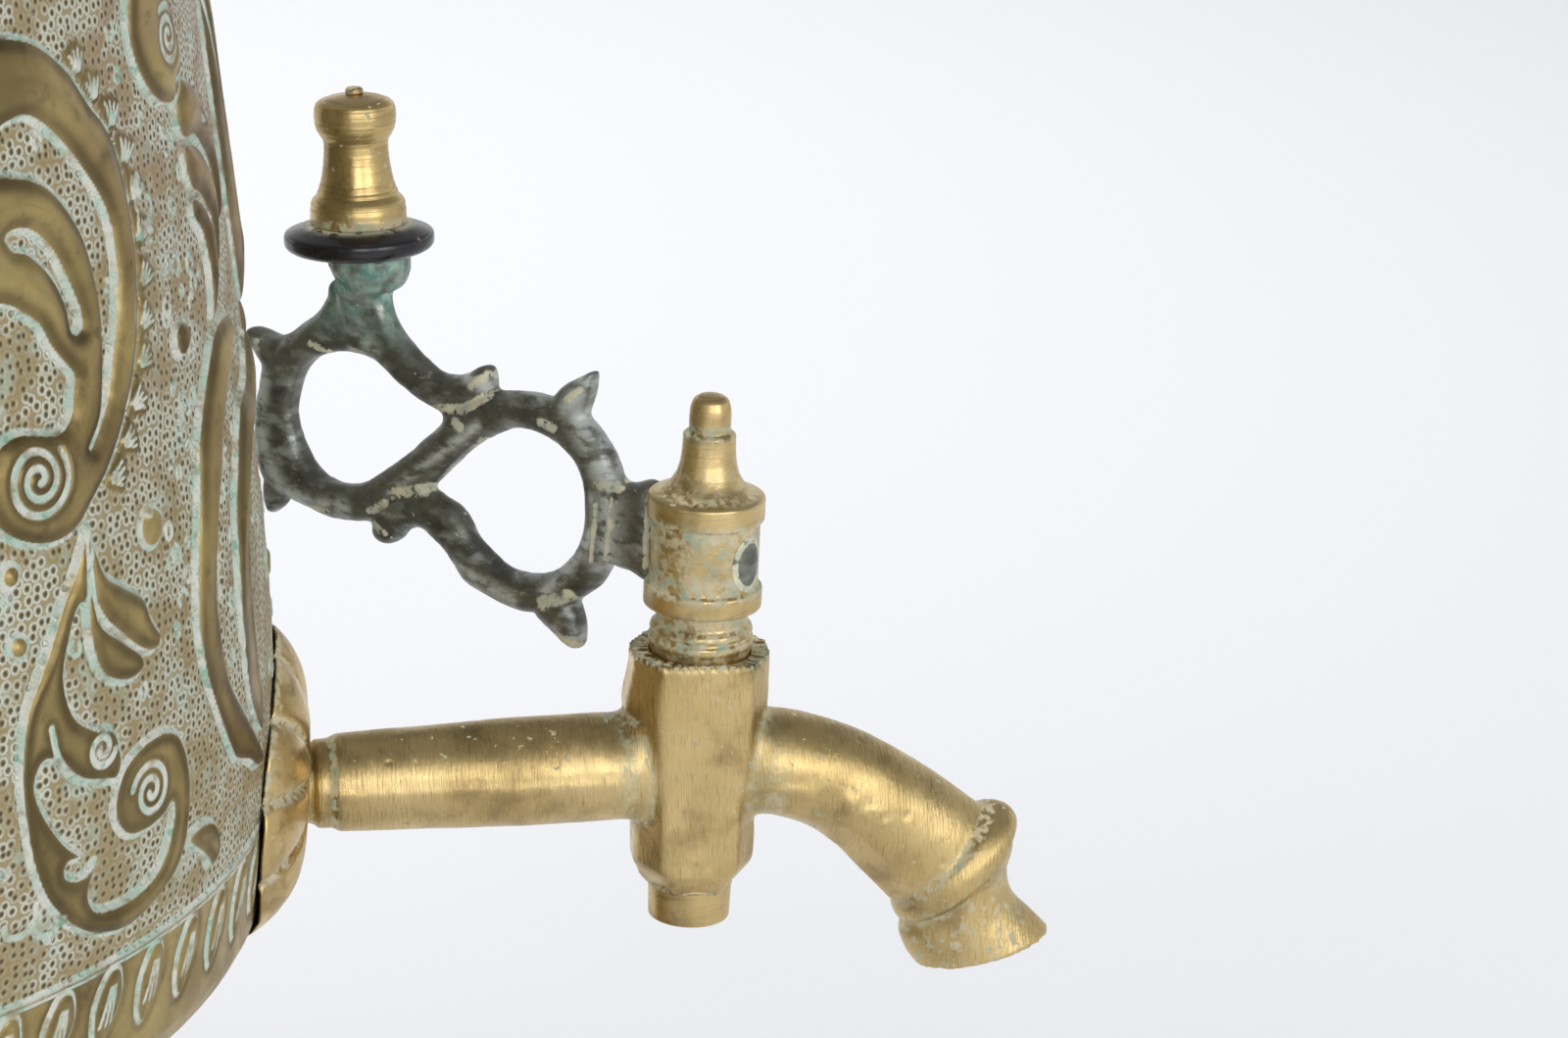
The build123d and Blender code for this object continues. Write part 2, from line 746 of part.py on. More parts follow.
def handle_bracket():
    """The cast pad and its two curved arms, on the +X side."""
    ellipse = Pos(0, 0, handle_level()) * Rot(0, 90, 0) * extrude(
        Ellipse(pad_half_height, pad_half_width + arm_thickness / 2), tank_belly_radius + arm_reach)
    body = tank_filled(-pad_thickness) & ellipse
    eye_x, eye_z = handle_eye()
    arm_edge = (arm_spacing + arm_thickness) / 2
    foot_x = (handle_wall() ** 2 - arm_edge ** 2) ** 0.5 - 3.0
    foot_z = handle_level() - pad_half_height * 0.1
    low_x = handle_wall() + arm_reach * 0.62
    outer = Spline((foot_x, foot_z - arm_bar), (low_x, foot_z - arm_bar * 0.8),
                   (eye_x + eye_radius * 0.9, eye_z - 1),
                   tangents=[(1, -0.25), (0.1, 1)])
    inner = Spline((foot_x, foot_z + arm_bar), (low_x - arm_bar * 1.2, foot_z + arm_bar * 1.3),
                   (eye_x - eye_radius * 0.9, eye_z - 1), tangents=[(1, -0.2), (0.1, 1)])
    face = make_face(outer + Line(outer @ 1, inner @ 1) + inner + Line(inner @ 0, outer @ 0))
    arm = extrude(Plane.XZ * face, arm_thickness / 2, both=True)
    eye = Pos(eye_x, 0, eye_z) * Rot(90, 0, 0) * Cylinder(eye_radius, arm_thickness)
    arm += eye
    for side in (-1, 1):
        body += Pos(0, side * arm_spacing / 2, 0) * arm
    body -= tank_filled(0)
    body -= grip_rod()
    for shank in handle_rivet_shanks()[:2]:
        body -= shank
    return body


def grip_rod():
    eye_x, eye_z = handle_eye()
    length = arm_spacing + arm_thickness + 2 * rod_nut_length - 2.0
    return Pos(eye_x, 0, eye_z) * Rot(90, 0, 0) * Cylinder(rod_radius, length)


def grip():
    """The turned black grip between the arms."""
    half = (arm_spacing - arm_thickness) / 2
    eye_x, eye_z = handle_eye()
    half_outline = [(0.0, grip_radius), (0.35, grip_radius * 0.96), (0.68, grip_radius * 0.8),
                    (0.8, grip_end_radius * 1.02), (0.86, grip_end_radius * 1.3),
                    (0.94, grip_end_radius * 1.3),
                    (1.0, grip_end_radius)]
    right = [(radius, half * share) for share, radius in half_outline]
    left = [(radius, -height) for radius, height in right[:0:-1]]
    body = turned([(rod_radius, -half)] + left + right + [(rod_radius, half)])
    return Pos(eye_x, 0, eye_z) * Rot(90, 0, 0) * body


def rod_nuts():
    """The two ball nuts on the ends of one grip rod."""
    eye_x, eye_z = handle_eye()
    seat = (arm_spacing + arm_thickness) / 2
    ball = turned([(0, seat), (rod_nut_radius * 0.8, seat), (rod_nut_radius, seat + rod_nut_length * 0.3),
                   (rod_nut_radius * 0.95, seat + rod_nut_length * 0.6),
                   (rod_nut_radius * 0.6, seat + rod_nut_length * 0.9), (0, seat + rod_nut_length)])
    nuts = []
    for turn in (90, -90):
        nuts.append(Pos(eye_x, 0, eye_z) * Rot(turn, 0, 0) * ball - grip_rod())
    return nuts


def rivet_places():
    """Places of the two rivets of the +X pad, with +Z pointing out through the wall."""
    spread = pad_half_width * 0.52
    turn = degrees(asin(spread / handle_wall()))
    return [Rot(0, 0, side * turn) * Pos(0, 0, handle_level()) * Rot(0, 90, 0) for side in (-1, 1)]


def handle_rivet_shanks():
    """Rivet shanks of both pads, the +X pad's first."""
    start = handle_wall() - tank_wall - 3.0
    end = handle_wall() + pad_thickness + 1.2
    shanks = [place * round_bar(rivet_radius, start, end) for place in rivet_places()]
    return shanks + [Rot(0, 0, 180) * shank for shank in shanks]


def handle_rivets():
    """Four rivets, with a domed head outside and a clenched end inside."""
    seat = handle_wall() + pad_thickness + 0.2
    head = turned([(0, seat), (rivet_head_radius, seat),
                   (rivet_head_radius * 0.85, seat + rivet_head_height * 0.7),
                   (rivet_head_radius * 0.4, seat + rivet_head_height), (0, seat + rivet_head_height)])
    out = []
    for place, shank in zip(rivet_places(), handle_rivet_shanks()[:2]):
        out.append((shank + place * head) - (place * head & handle_bracket_skin()))
    return out + [Rot(0, 0, 180) * rivet for rivet in out]


def handle_bracket_skin():
    return tank_filled(-pad_thickness)


# ---------------------------------------------------------------- tap
# Stations down the spout, in the tap's frame: (x, z), degrees below level, half height, half width.
spout_bend = [((2.0, 0.0), 0.0, 7.8, 7.8),
              ((10.5, -0.5), 5.0, 7.8, 7.8),
              ((18.3, -2.9), 18.0, 7.9, 7.8),
              ((25.0, -7.0), 33.0, 8.3, 7.7),
              ((30.6, -11.8), 42.0, 9.1, 7.6),
              ((35.3, -16.4), 43.5, 9.9, 7.6)]
spout_ring = [((35.9, -16.9), 44.0, spout_end_half_height, spout_end_half_width),
              ((37.4, -17.3), 45.5, spout_end_half_height + spout_ring_rise,
               spout_end_half_width + spout_ring_rise),
              ((38.9, -18.9), 48.0, spout_end_half_height + spout_ring_rise,
               spout_end_half_width + spout_ring_rise),
              ((38.4, -21.4), 57.0, 9.4, 7.4)]
spout_lip = [((37.9, -24.3), 68.0, 8.5, 6.7),
             ((41.0, -29.6), 76.0, 9.8, 6.7),
             ((43.0, -31.9), 78.0, 10.2, 7.0)]


def station_face(place, fall, half_height, half_width):
    """An oval section square to the spout at one station."""
    angle = radians(fall)
    plane = Plane(origin=(place[0], 0, place[1]), x_dir=(0, 1, 0), z_dir=(cos(angle), 0, -sin(angle)))
    return plane * Ellipse(half_width, half_height)


def spout():
    """The bent spout with its cast ring and its flared lip."""
    bend = loft([station_face(*station) for station in spout_bend])
    end = loft([station_face(*station) for station in [spout_bend[-1]] + spout_ring + spout_lip], ruled=True)
    return bend + end


def spout_bore():
    """The water way: a curved bore that opens into the flared lip."""
    bend = [station_face(place, fall, water_bore_radius, water_bore_radius)
            for place, fall, half_height, half_width in spout_bend]
    flare = [station_face(place, fall, half_height - spout_wall, half_width - spout_wall)
             for place, fall, half_height, half_width in spout_lip]
    (x, z), fall, half_height, half_width = spout_lip[-1]
    beyond = station_face((x + 0.3, z - 2.0), fall, half_height - spout_wall, half_width - spout_wall)
    return [loft(bend), loft([bend[-1]] + flare + [beyond], ruled=True)]


def plug_radius_at(height, gap=0.0):
    """Radius of the tapered plug inside the housing."""
    share = (height - plug_tip) / (housing_top - plug_tip)
    return plug_bottom_radius + (plug_top_radius - plug_bottom_radius) * share + gap


def tap_body():
    """Pipe, housing and spout as one casting, with the screwed tail."""
    neck_end = neck_start() + pipe_neck_length
    tail_start = nut_face() - back_nut_length - tail_past_nut
    shaft = [(0, tail_start), (tail_radius, tail_start), (tail_radius, neck_start()),
             (pipe_neck_radius, neck_start()), (pipe_neck_radius, neck_end),
             (pipe_radius_back, neck_end + 0.8), (pipe_radius_front, neck_end + pipe_taper_length),
             (pipe_radius_front, 2.0), (0, 2.0)]
    body = along_pipe(turned(shaft))
    body += leaned() * turned([(0, housing_bottom), (housing_bottom_radius, housing_bottom),
                               (housing_shoulder_radius, housing_shoulder), (housing_mid_radius, 0.0),
                               (housing_top_radius, housing_top - 6.0),
                               (housing_top_radius - 0.3, housing_top), (0, housing_top)])
    body += spout()
    for way in spout_bore():
        body -= way
    body -= along_pipe(round_bar(water_bore_radius, tail_start - 1, 2.0))
    low, high = plug_tip - 1, housing_top + 1
    body -= leaned() * cone_bar(plug_radius_at(low, turn_gap), plug_radius_at(high, turn_gap), low, high)
    return tap_frame() * body


def neck_start():
    """Where the pipe steps up in front of the rosette, measured out from the plug."""
    return -rosette_back() + rosette_height


def tap_rosette():
    """The domed, petalled plate that covers the hole in the tank."""
    rise = rosette_height
    steps = 8
    outside = []
    for i in range(steps + 1):
        share = i / steps
        radius = rosette_radius + (tail_radius + 2.6 - rosette_radius) * share
        outside.append((radius, 1.2 + (rise - 1.2) * sin(share * pi / 2)))
    inside = [(radius, height - rosette_wall) for radius, height in outside[1:]]
    outline = ([(rosette_radius, 0)] + outside + [(tail_radius, rise), (tail_radius, rise - rosette_wall)]
               + inside[::-1] + [(rosette_radius - rosette_wall, 0)])
    body = turned(outline)
    notch = Pos(rosette_radius + 1.4, 0, 0) * Cylinder(2.6, 2 * rise)
    for cut in ring_of(notch, rosette_petals, 180 / rosette_petals):
        body -= cut
    plate = Pos(-rosette_back(), 0, 0) * Rot(0, rosette_tilt, 0) * along_pipe(body)
    plate -= along_pipe(round_bar(tail_radius, -tap_reach, neck_start()))
    plate -= along_pipe(round_bar(pipe_neck_radius, neck_start(), 0))
    return tap_frame() * plate


def tap_level():
    return tank_bottom + tap_height


def rosette_back():
    """How far behind the plug the rosette's centre lies, so that it just clears the bellied tank."""
    tilt = radians(rosette_tilt)
    nearest = []
    for step in range(-10, 11):
        up = rosette_radius * step / 10
        height = tap_level() + up * cos(tilt)
        if height > tank_bottom + tank_turn_height:
            nearest.append(tap_reach + up * sin(tilt) - tank_radius_at(height))
    return min(nearest) - 0.1


def nut_face():
    """Where the back nut bears, measured out along the pipe from the plug."""
    return -(tap_reach - tank_radius_at(tap_level() - back_nut_radius, tank_wall) + gasket_least)


def tap_gasket():
    """A leather washer that follows the inside of the tank."""
    washer = along_pipe(round_bar(gasket_radius, nut_face(), nut_face() + 3 * gasket_radius)
                        - round_bar(tail_radius, nut_face() - 1, nut_face() + 4 * gasket_radius))
    return (tap_frame() * washer) & tank_filled(tank_wall)


def tap_back_nut():
    flats = extrude(RegularPolygon(back_nut_radius, 6, major_radius=True), back_nut_length)
    nut = Pos(0, 0, nut_face() - back_nut_length) * flats
    nut -= round_bar(tail_radius, nut_face() - back_nut_length - 1, nut_face() + 1)
    return tap_frame() * along_pipe(nut)


# ---------------------------------------------------------------- plug and key
def key_plane(side=0.0):
    """The key's upright plane in the tap's frame: x out along the handle, y up."""
    angle = radians(key_angle)
    out = (cos(angle), sin(angle), 0)
    across = (sin(angle), -cos(angle), 0)
    return Plane(origin=(side * across[0], side * across[1], 0), x_dir=out, z_dir=across)


def tenon():
    """The key's square end, right through the plug head and clenched on the far side."""
    length = 2 * barrel_radius + 0.3 + 4.0
    block = Box(length, tenon_width, tenon_height)
    return Rot(0, 0, key_angle) * Pos(2.0 - 0.15, 0, tenon_centre) * block


def tap_plug():
    body = turned([(0, plug_tip), (plug_bottom_radius, plug_tip),
                   (plug_radius_at(housing_top - 0.5), housing_top - 0.5),
                   (plug_top_radius, housing_top + 0.6), (head_ring_radius, housing_top + 1.4),
                   (head_ring_radius, head_groove_bottom - 0.8), (head_groove_radius, head_groove_bottom),
                   (head_groove_radius, lower_collar_bottom), (lower_collar_radius, lower_collar_bottom),
                   (lower_collar_radius, lower_collar_top), (barrel_radius, lower_collar_top),
                   (barrel_radius, upper_collar_bottom), (upper_collar_radius, upper_collar_bottom),
                   (upper_collar_radius, upper_collar_top)] + finial_outline())
    port = Rot(0, 0, plug_port_angle) * Rot(0, 90, 0) * Cylinder(plug_port_radius, 4 * plug_top_radius)
    return plug_frame() * (body - port - tenon())


def finial_outline():
    """The concave neck and button on top of the plug head."""
    low = upper_collar_top
    neck = finial_neck_top - 3.0
    outline = []
    for i in range(6):
        share = i / 5
        radius = upper_collar_radius - 0.5 + (finial_neck_radius - upper_collar_radius + 0.5) * (
            1 - (1 - share) ** 3)
        outline.append((radius, low + 0.3 + (neck - low) * share ** 1.3))
    outline += [(finial_neck_radius, finial_neck_top), (button_radius, finial_neck_top)]
    crown_start = button_top - button_radius
    outline += [(button_radius * cos(radians(a)), crown_start + button_radius * sin(radians(a)))
                for a in (0, 20, 40, 60, 80)]
    outline.append((0, button_top))
    return outline


def key_outline():
    """Outer edge of the double scroll, as points (u, z) round it."""
    return [(17.0, 25.8), (17.6, 31.5), (18.2, 37.0), (21.6, 44.0), (27.2, 47.6), (36.3, 47.0),
            (45.0, 43.9), (51.0, 43.7), (55.9, 47.6), (60.0, 51.6), (65.6, 53.0), (70.8, 51.4),
            (77.6, 47.2), (82.6, 41.8), (84.0, 36.0), (83.2, 30.0), (79.4, 23.4), (71.7, 20.9),
            (63.2, 21.9), (56.3, 25.6), (50.3, 24.4), (44.4, 18.9), (35.1, 16.5), (27.7, 16.3),
            (20.6, 20.8)]


def key_right_hole():
    return [(49.2, 28.1), (43.3, 36.7), (34.2, 42.2), (25.4, 40.9), (20.9, 34.8), (22.9, 27.1),
            (29.7, 21.7), (38.6, 22.2), (44.3, 25.4)]


def key_left_hole():
    return [(77.5, 34.6), (75.0, 41.6), (69.3, 46.2), (60.6, 45.9), (53.4, 42.9), (48.3, 39.9),
            (53.2, 34.6), (62.1, 28.5), (68.4, 27.0), (74.8, 28.6)]


def key_thorns():
    """The pointed leaves of the scroll, as triangles in the key's plane."""
    return [[(28.2, 46.0), (20.9, 53.9), (21.6, 43.0)], [(47.2, 43.2), (40.6, 50.0), (39.0, 44.5)],
            [(30.3, 18.0), (22.0, 11.8), (21.6, 21.0)], [(84.0, 40.0), (87.1, 46.7), (79.0, 45.4)],
            [(61.5, 23.5), (59.2, 19.0), (54.6, 25.6)], [(80.8, 26.0), (82.6, 18.6), (75.4, 22.4)]]


def closed_curve(points):
    return make_face(Spline(*points, periodic=True))


def key_handle():
    """The cast double scroll with its tongue, tenon and knob seat."""
    face = closed_curve(key_outline()) - closed_curve(key_right_hole()) - closed_curve(key_left_hole())
    body = extrude(key_plane() * face, key_thickness / 2, both=True)
    for thorn in key_thorns():
        leaf = make_face(Polyline(*thorn, close=True))
        body += extrude(key_plane() * leaf, key_thickness * 0.3, both=True)
    tongue_start = barrel_radius - 1.0
    tongue_face = make_face(Polyline((tongue_start, tongue_bottom), (tongue_reach, tongue_bottom),
                                     (tongue_reach, tongue_top), (tongue_start, tongue_top), close=True))
    body += extrude(key_plane() * tongue_face, tongue_thickness / 2, both=True)
    body -= round_bar(barrel_radius, lower_collar_top, upper_collar_bottom)
    body -= round_bar(lower_collar_radius, lower_collar_bottom, lower_collar_top)
    body -= round_bar(upper_collar_radius, upper_collar_bottom, upper_collar_top)
    body += tenon()
    neck = cone_bar(key_neck_radius, key_neck_radius, -key_neck_length, -2.6)
    flare = cone_bar(key_neck_radius, key_neck_flare, -2.7, 0)
    body += knob_axis() * (neck + flare)
    body -= knob_axis() * round_bar(stud_radius, -stud_depth, 2)
    return plug_frame() * body


def knob_axis():
    """Frame of the key's knob in the tap's frame, with z = 0 on the handle's seat."""
    return Rot(0, 0, key_angle) * Pos(knob_reach, 0, knob_seat) * Rot(0, knob_lean, 0)


# ---------------------------------------------------------------- write every piece
save("plinth", plinth())
save("bun_feet", [Pos(x, y, 0) * foot() for x, y in foot_places()])
save("pedestal", pedestal())
save("pedestal_base_ring", pedestal_base_ring())
save("pedestal_cap_ring", pedestal_cap_ring())
save("pedestal_screws", pedestal_screws())
save("tank_shell", tank_shell())
save("tank_shoulder", tank_shoulder())
save("tank_floor", tank_floor())
save("floor_seam_ring", floor_ring())
save("fire_tube", fire_tube())
save("grate_ledge", grate_ledge_ring())
save("grate", grate())
save("shoulder_ring", shoulder_ring())

save("lid", lid())
boss_top = lid_boss_top()
save("lid_knob_discs", [place * knob_disc(boss_top) for place in lid_boss_places()])
save("lid_knobs", [place * knob(boss_top + disc_thickness) for place in lid_boss_places()])
save("lid_knob_studs", [place * knob_stud(boss_top) for place in lid_boss_places()])
save("vent_seat", vent_seat())
save("vent_shutter", vent_cap())

save("crown_seat", crown_seat())
save("crown_ring", crown_ring())
save("crown_struts", crown_struts())
save("damper_cap", damper_cap())
save("damper_disc", knob_disc(cap_top()))
save("damper_knob", knob(cap_top() + disc_thickness))
save("damper_stud", knob_stud(cap_top()))

right_bracket = handle_bracket()
for node, turn in (("right", 0), ("left", 180)):
    around = Rot(0, 0, turn)
    save(f"{node}_handle_bracket", around * right_bracket)
    save(f"{node}_handle_grip", around * grip())
save("handle_rods", mirrored_pair(grip_rod()))
save("handle_rod_nuts", [Rot(0, 0, turn) * nut for turn in (0, 180) for nut in rod_nuts()])
save("handle_rivets", handle_rivets())

save("tap_body", tap_body())
save("tap_rosette", tap_rosette())
save("tap_gasket", tap_gasket())
save("tap_back_nut", tap_back_nut())
save("tap_plug", tap_plug())
save("key_handle", key_handle())
save("key_disc", plug_frame() * knob_axis() * knob_disc(0))
save("key_knob", plug_frame() * knob_axis() * knob(disc_thickness))
save("key_stud", plug_frame() * knob_axis() * knob_stud(0))
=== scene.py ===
import json
from math import atan2, cos, hypot, pi, radians, sin

import bpy
import numpy as np
from mathutils import Matrix, Vector

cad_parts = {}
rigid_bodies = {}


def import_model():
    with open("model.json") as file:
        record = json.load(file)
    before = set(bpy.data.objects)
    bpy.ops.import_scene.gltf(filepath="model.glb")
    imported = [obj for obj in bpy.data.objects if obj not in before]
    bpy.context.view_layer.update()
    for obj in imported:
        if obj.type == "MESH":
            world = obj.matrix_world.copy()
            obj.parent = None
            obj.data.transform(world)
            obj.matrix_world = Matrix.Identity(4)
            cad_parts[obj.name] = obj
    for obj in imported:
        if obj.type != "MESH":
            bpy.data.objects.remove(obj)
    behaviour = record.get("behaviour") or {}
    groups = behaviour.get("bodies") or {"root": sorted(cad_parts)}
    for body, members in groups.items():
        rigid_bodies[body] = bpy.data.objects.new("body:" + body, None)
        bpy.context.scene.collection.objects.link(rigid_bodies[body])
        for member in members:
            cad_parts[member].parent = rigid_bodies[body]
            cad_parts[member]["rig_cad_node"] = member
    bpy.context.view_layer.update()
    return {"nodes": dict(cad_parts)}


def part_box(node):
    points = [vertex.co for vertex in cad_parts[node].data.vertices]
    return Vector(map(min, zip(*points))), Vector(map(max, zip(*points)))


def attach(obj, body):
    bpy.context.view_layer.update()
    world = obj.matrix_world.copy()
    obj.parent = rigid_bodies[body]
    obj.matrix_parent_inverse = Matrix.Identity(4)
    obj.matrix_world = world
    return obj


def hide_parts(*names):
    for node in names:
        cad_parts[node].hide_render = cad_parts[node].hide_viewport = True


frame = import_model()
nodes = frame["nodes"]
mm = 0.001

# ---------------------------------------------------------------- camera, floor and lamps
# A long lens stands square to the tap, a little above the lid, and looks down past the tank's edge.
# The floor and the sheets of light are plain and pale.
camera_place = (-583.2 * mm, -67.8 * mm, 352.2 * mm)
camera_turn, camera_fall = radians(-10.0), radians(19.0)
lens, sensor = 101.25, 36.0
nearest_seen, farthest_seen = 0.02, 50.0
floor_reach = 9.0
floor_colour = (0.905, 0.912, 0.945)
sheet_light = [  # name, place, what it points at, size, watts, whether polished metal mirrors it
    ("lamp_front", (-0.86, -0.13, 0.42), (0.0, -0.15, 0.13), 0.42, 1.5, True),
    ("lamp_right", (-0.76, -0.66, 0.40), (0.0, -0.15, 0.13), 0.50, 2.2, True),
    ("lamp_left", (-0.5, 1.1, 1.15), (0.0, -0.05, 0.15), 1.0, 4.5, False),
    ("lamp_far", (0.9, 0.1, 1.5), (0.7, -0.1, 0.0), 1.2, 18.0, False)]
sky_colour = (0.985, 0.99, 1.0)
sky_diffuse, sky_shown = 0.35, 0.97
sky_low, sky_high, sky_behind = 1.0, 0.32, 0.60


class Nodes:
    """A tree of shader nodes that is being wired up, for the world or for one material."""

    def __init__(self, tree):
        self.tree = tree

    def wire(self, socket, value):
        """Link a value to a socket, or set it there; a colour is given as red, green and blue."""
        if isinstance(value, bpy.types.NodeSocket):
            self.tree.links.new(value, socket)
        else:
            socket.default_value = (*value, 1) if socket.type == "RGBA" else value

    def add(self, kind, **values):
        """A node with its settings; a value for a socket is given by the socket's name."""
        made = self.tree.nodes.new(kind)
        for key, value in values.items():
            name = key.replace("_", " ").lower()
            socket = next((s for s in made.inputs if s.name.lower() == name and s.enabled), None)
            if socket is None:
                setattr(made, key, value)
            else:
                self.wire(socket, value)
        return made

    def sums(self, kind, first, second=0.0, clamp=False):
        """One sum on two values."""
        made = self.add("ShaderNodeMath", operation=kind, use_clamp=clamp)
        self.wire(made.inputs[0], first)
        self.wire(made.inputs[1], second)
        return made.outputs[0]

    def times(self, first, second):
        """Two values multiplied."""
        return self.sums("MULTIPLY", first, second)

    def most(self, first, *others):
        """The largest of several values."""
        for other in others:
            first = self.sums("MAXIMUM", first, other)
        return first

    def spread(self, value, low, high, to_low=0.0, to_high=1.0):
        """A value stretched from one range to another, softly at both ends."""
        return self.add("ShaderNodeMapRange", interpolation_type="SMOOTHSTEP", Value=value, From_Min=low,
                        From_Max=high, To_Min=to_low, To_Max=to_high).outputs[0]

    def mix(self, share, first, second, kind="RGBA"):
        """Two colours mixed by a share, or two plain numbers where the kind is FLOAT."""
        made = self.add("ShaderNodeMix", data_type=kind)
        pair = (6, 7) if kind == "RGBA" else (2, 3)
        for place, value in zip((0, *pair), (share, first, second)):
            self.wire(made.inputs[place], value)
        return made.outputs[2 if kind == "RGBA" else 0]


def aim(item, place, direction):
    """Stand a lamp or the camera at a place, looking along a direction."""
    item.location = place
    item.rotation_mode = "QUATERNION"
    item.rotation_quaternion = Vector(direction).to_track_quat("-Z", "Y")
    bpy.context.scene.collection.objects.link(item)


camera_data = bpy.data.cameras.new("camera")
camera_data.lens, camera_data.sensor_width = lens, sensor
camera_data.clip_start, camera_data.clip_end = nearest_seen, farthest_seen
camera = bpy.data.objects.new("camera", camera_data)
aim(camera, camera_place, (cos(camera_turn) * cos(camera_fall), sin(camera_turn) * cos(camera_fall),
                           -sin(camera_fall)))
bpy.context.scene.camera = camera
bpy.context.scene.view_settings.view_transform = "Standard"

for name, place, target, size, watts, mirrored in sheet_light:
    lamp = bpy.data.lights.new(name, "AREA")
    lamp.shape, lamp.size, lamp.energy = "DISK", size, watts
    hung = bpy.data.objects.new(name, lamp)
    hung.visible_glossy = mirrored
    aim(hung, place, Vector(target) - Vector(place))

world = bpy.data.worlds.new("studio")
world.use_nodes = True
bpy.context.scene.world = world
world.node_tree.nodes.clear()
sky = Nodes(world.node_tree)
rays = sky.add("ShaderNodeLightPath").outputs
direction = sky.add("ShaderNodeTexCoord").outputs["Generated"]
apart = sky.add("ShaderNodeSeparateXYZ", Vector=direction).outputs
# What polished metal mirrors: pale walls low down, a dim ceiling, and a half-lit room behind the camera.
upward = sky.spread(apart["Z"], 0.05, 0.55, sky_low, sky_high)
behind = sky.spread(apart["X"], -0.75, -0.10, sky_behind, 0.0)
lighting = sky.mix(rays["Is Glossy Ray"], sky_diffuse, sky.most(upward, behind), "FLOAT")
seen = sky.most(rays["Is Camera Ray"], rays["Is Transmission Ray"])
strength = sky.mix(seen, lighting, sky_shown, "FLOAT")
background = sky.add("ShaderNodeBackground", Color=sky_colour, Strength=strength)
sky.add("ShaderNodeOutputWorld", Surface=background.outputs[0])

floor_mesh = bpy.data.meshes.new("floor")
floor_corners = [(side * floor_reach, end * floor_reach, 0)
                 for side, end in ((-1, -1), (1, -1), (1, 1), (-1, 1))]
floor_mesh.from_pydata(floor_corners, [], [(0, 1, 2, 3)])
floor = bpy.data.objects.new("floor", floor_mesh)
bpy.context.scene.collection.objects.link(floor)
paper = bpy.data.materials.new("floor_paper")
paper.use_nodes = True
paper_shader = paper.node_tree.nodes["Principled BSDF"]
paper_shader.inputs["Base Color"].default_value = (*floor_colour, 1)
paper_shader.inputs["Roughness"].default_value = 0.9
paper_shader.inputs["Specular IOR Level"].default_value = 0.1
floor_mesh.materials.append(paper)

# ---------------------------------------------------------------- tank
# The bellied water tank is one sheet of brass, chased by hand: smooth rounded leaves stand out from a
# matted ground of ring punches. Grey-green polish and verdigris have dried in every hollow.
# Its side repeats the turned outline of the solid, and the chasing is drawn on the unrolled side.
tank_low, tank_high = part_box("tank_shell")[0].z / mm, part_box("tank_shoulder")[1].z / mm
tank_side = [(80.0, 0.0), (83.3, 1.2), (89.4, 5.0), (93.7, 10.0), (95.4, 17.5), (97.9, 55.0),
             (92.6, 124.0), (86.0, 181.0), (77.0, 196.0), (72.0, 203.0)]  # radius, height over its lower edge
belly_limit = 97.9            # nothing stands out past this radius
tank_wall = 1.3
relief_height = 1.75          # of the leaves over the ground
leaf_shoulder = 2.3           # how far in from its edge a leaf rounds over
ground_sink = 0.35
border_level = 116.0          # of the line under the scrolls
upper_border_level = 262.0
lancet_tip_level, upper_lancet = 104.5, 13.0
border_leaves = 11            # in half a cartouche
girth = 1.658                 # millimetres of side for one degree round the tank
cartouches = 3
half_cartouche = 180 / cartouches * girth
cell = 0.16                   # of the drawing
fan_pitch, fan_strokes = 5.0, (168, 150, 132, 114)  # the strokes' turn from the edge, in degrees
small_curls = 170
# The chasing fades out round the tap's plate, and leaves the feet of the side brackets plain.
tap_turn, tap_level, plate_plain, plate_fade = -90.0, 112.2, 20.0, 5.0
pad_turns, pad_level, pad_half_width, pad_half_height = (0.0, 180.0), 223.0, 36.5, 15.0

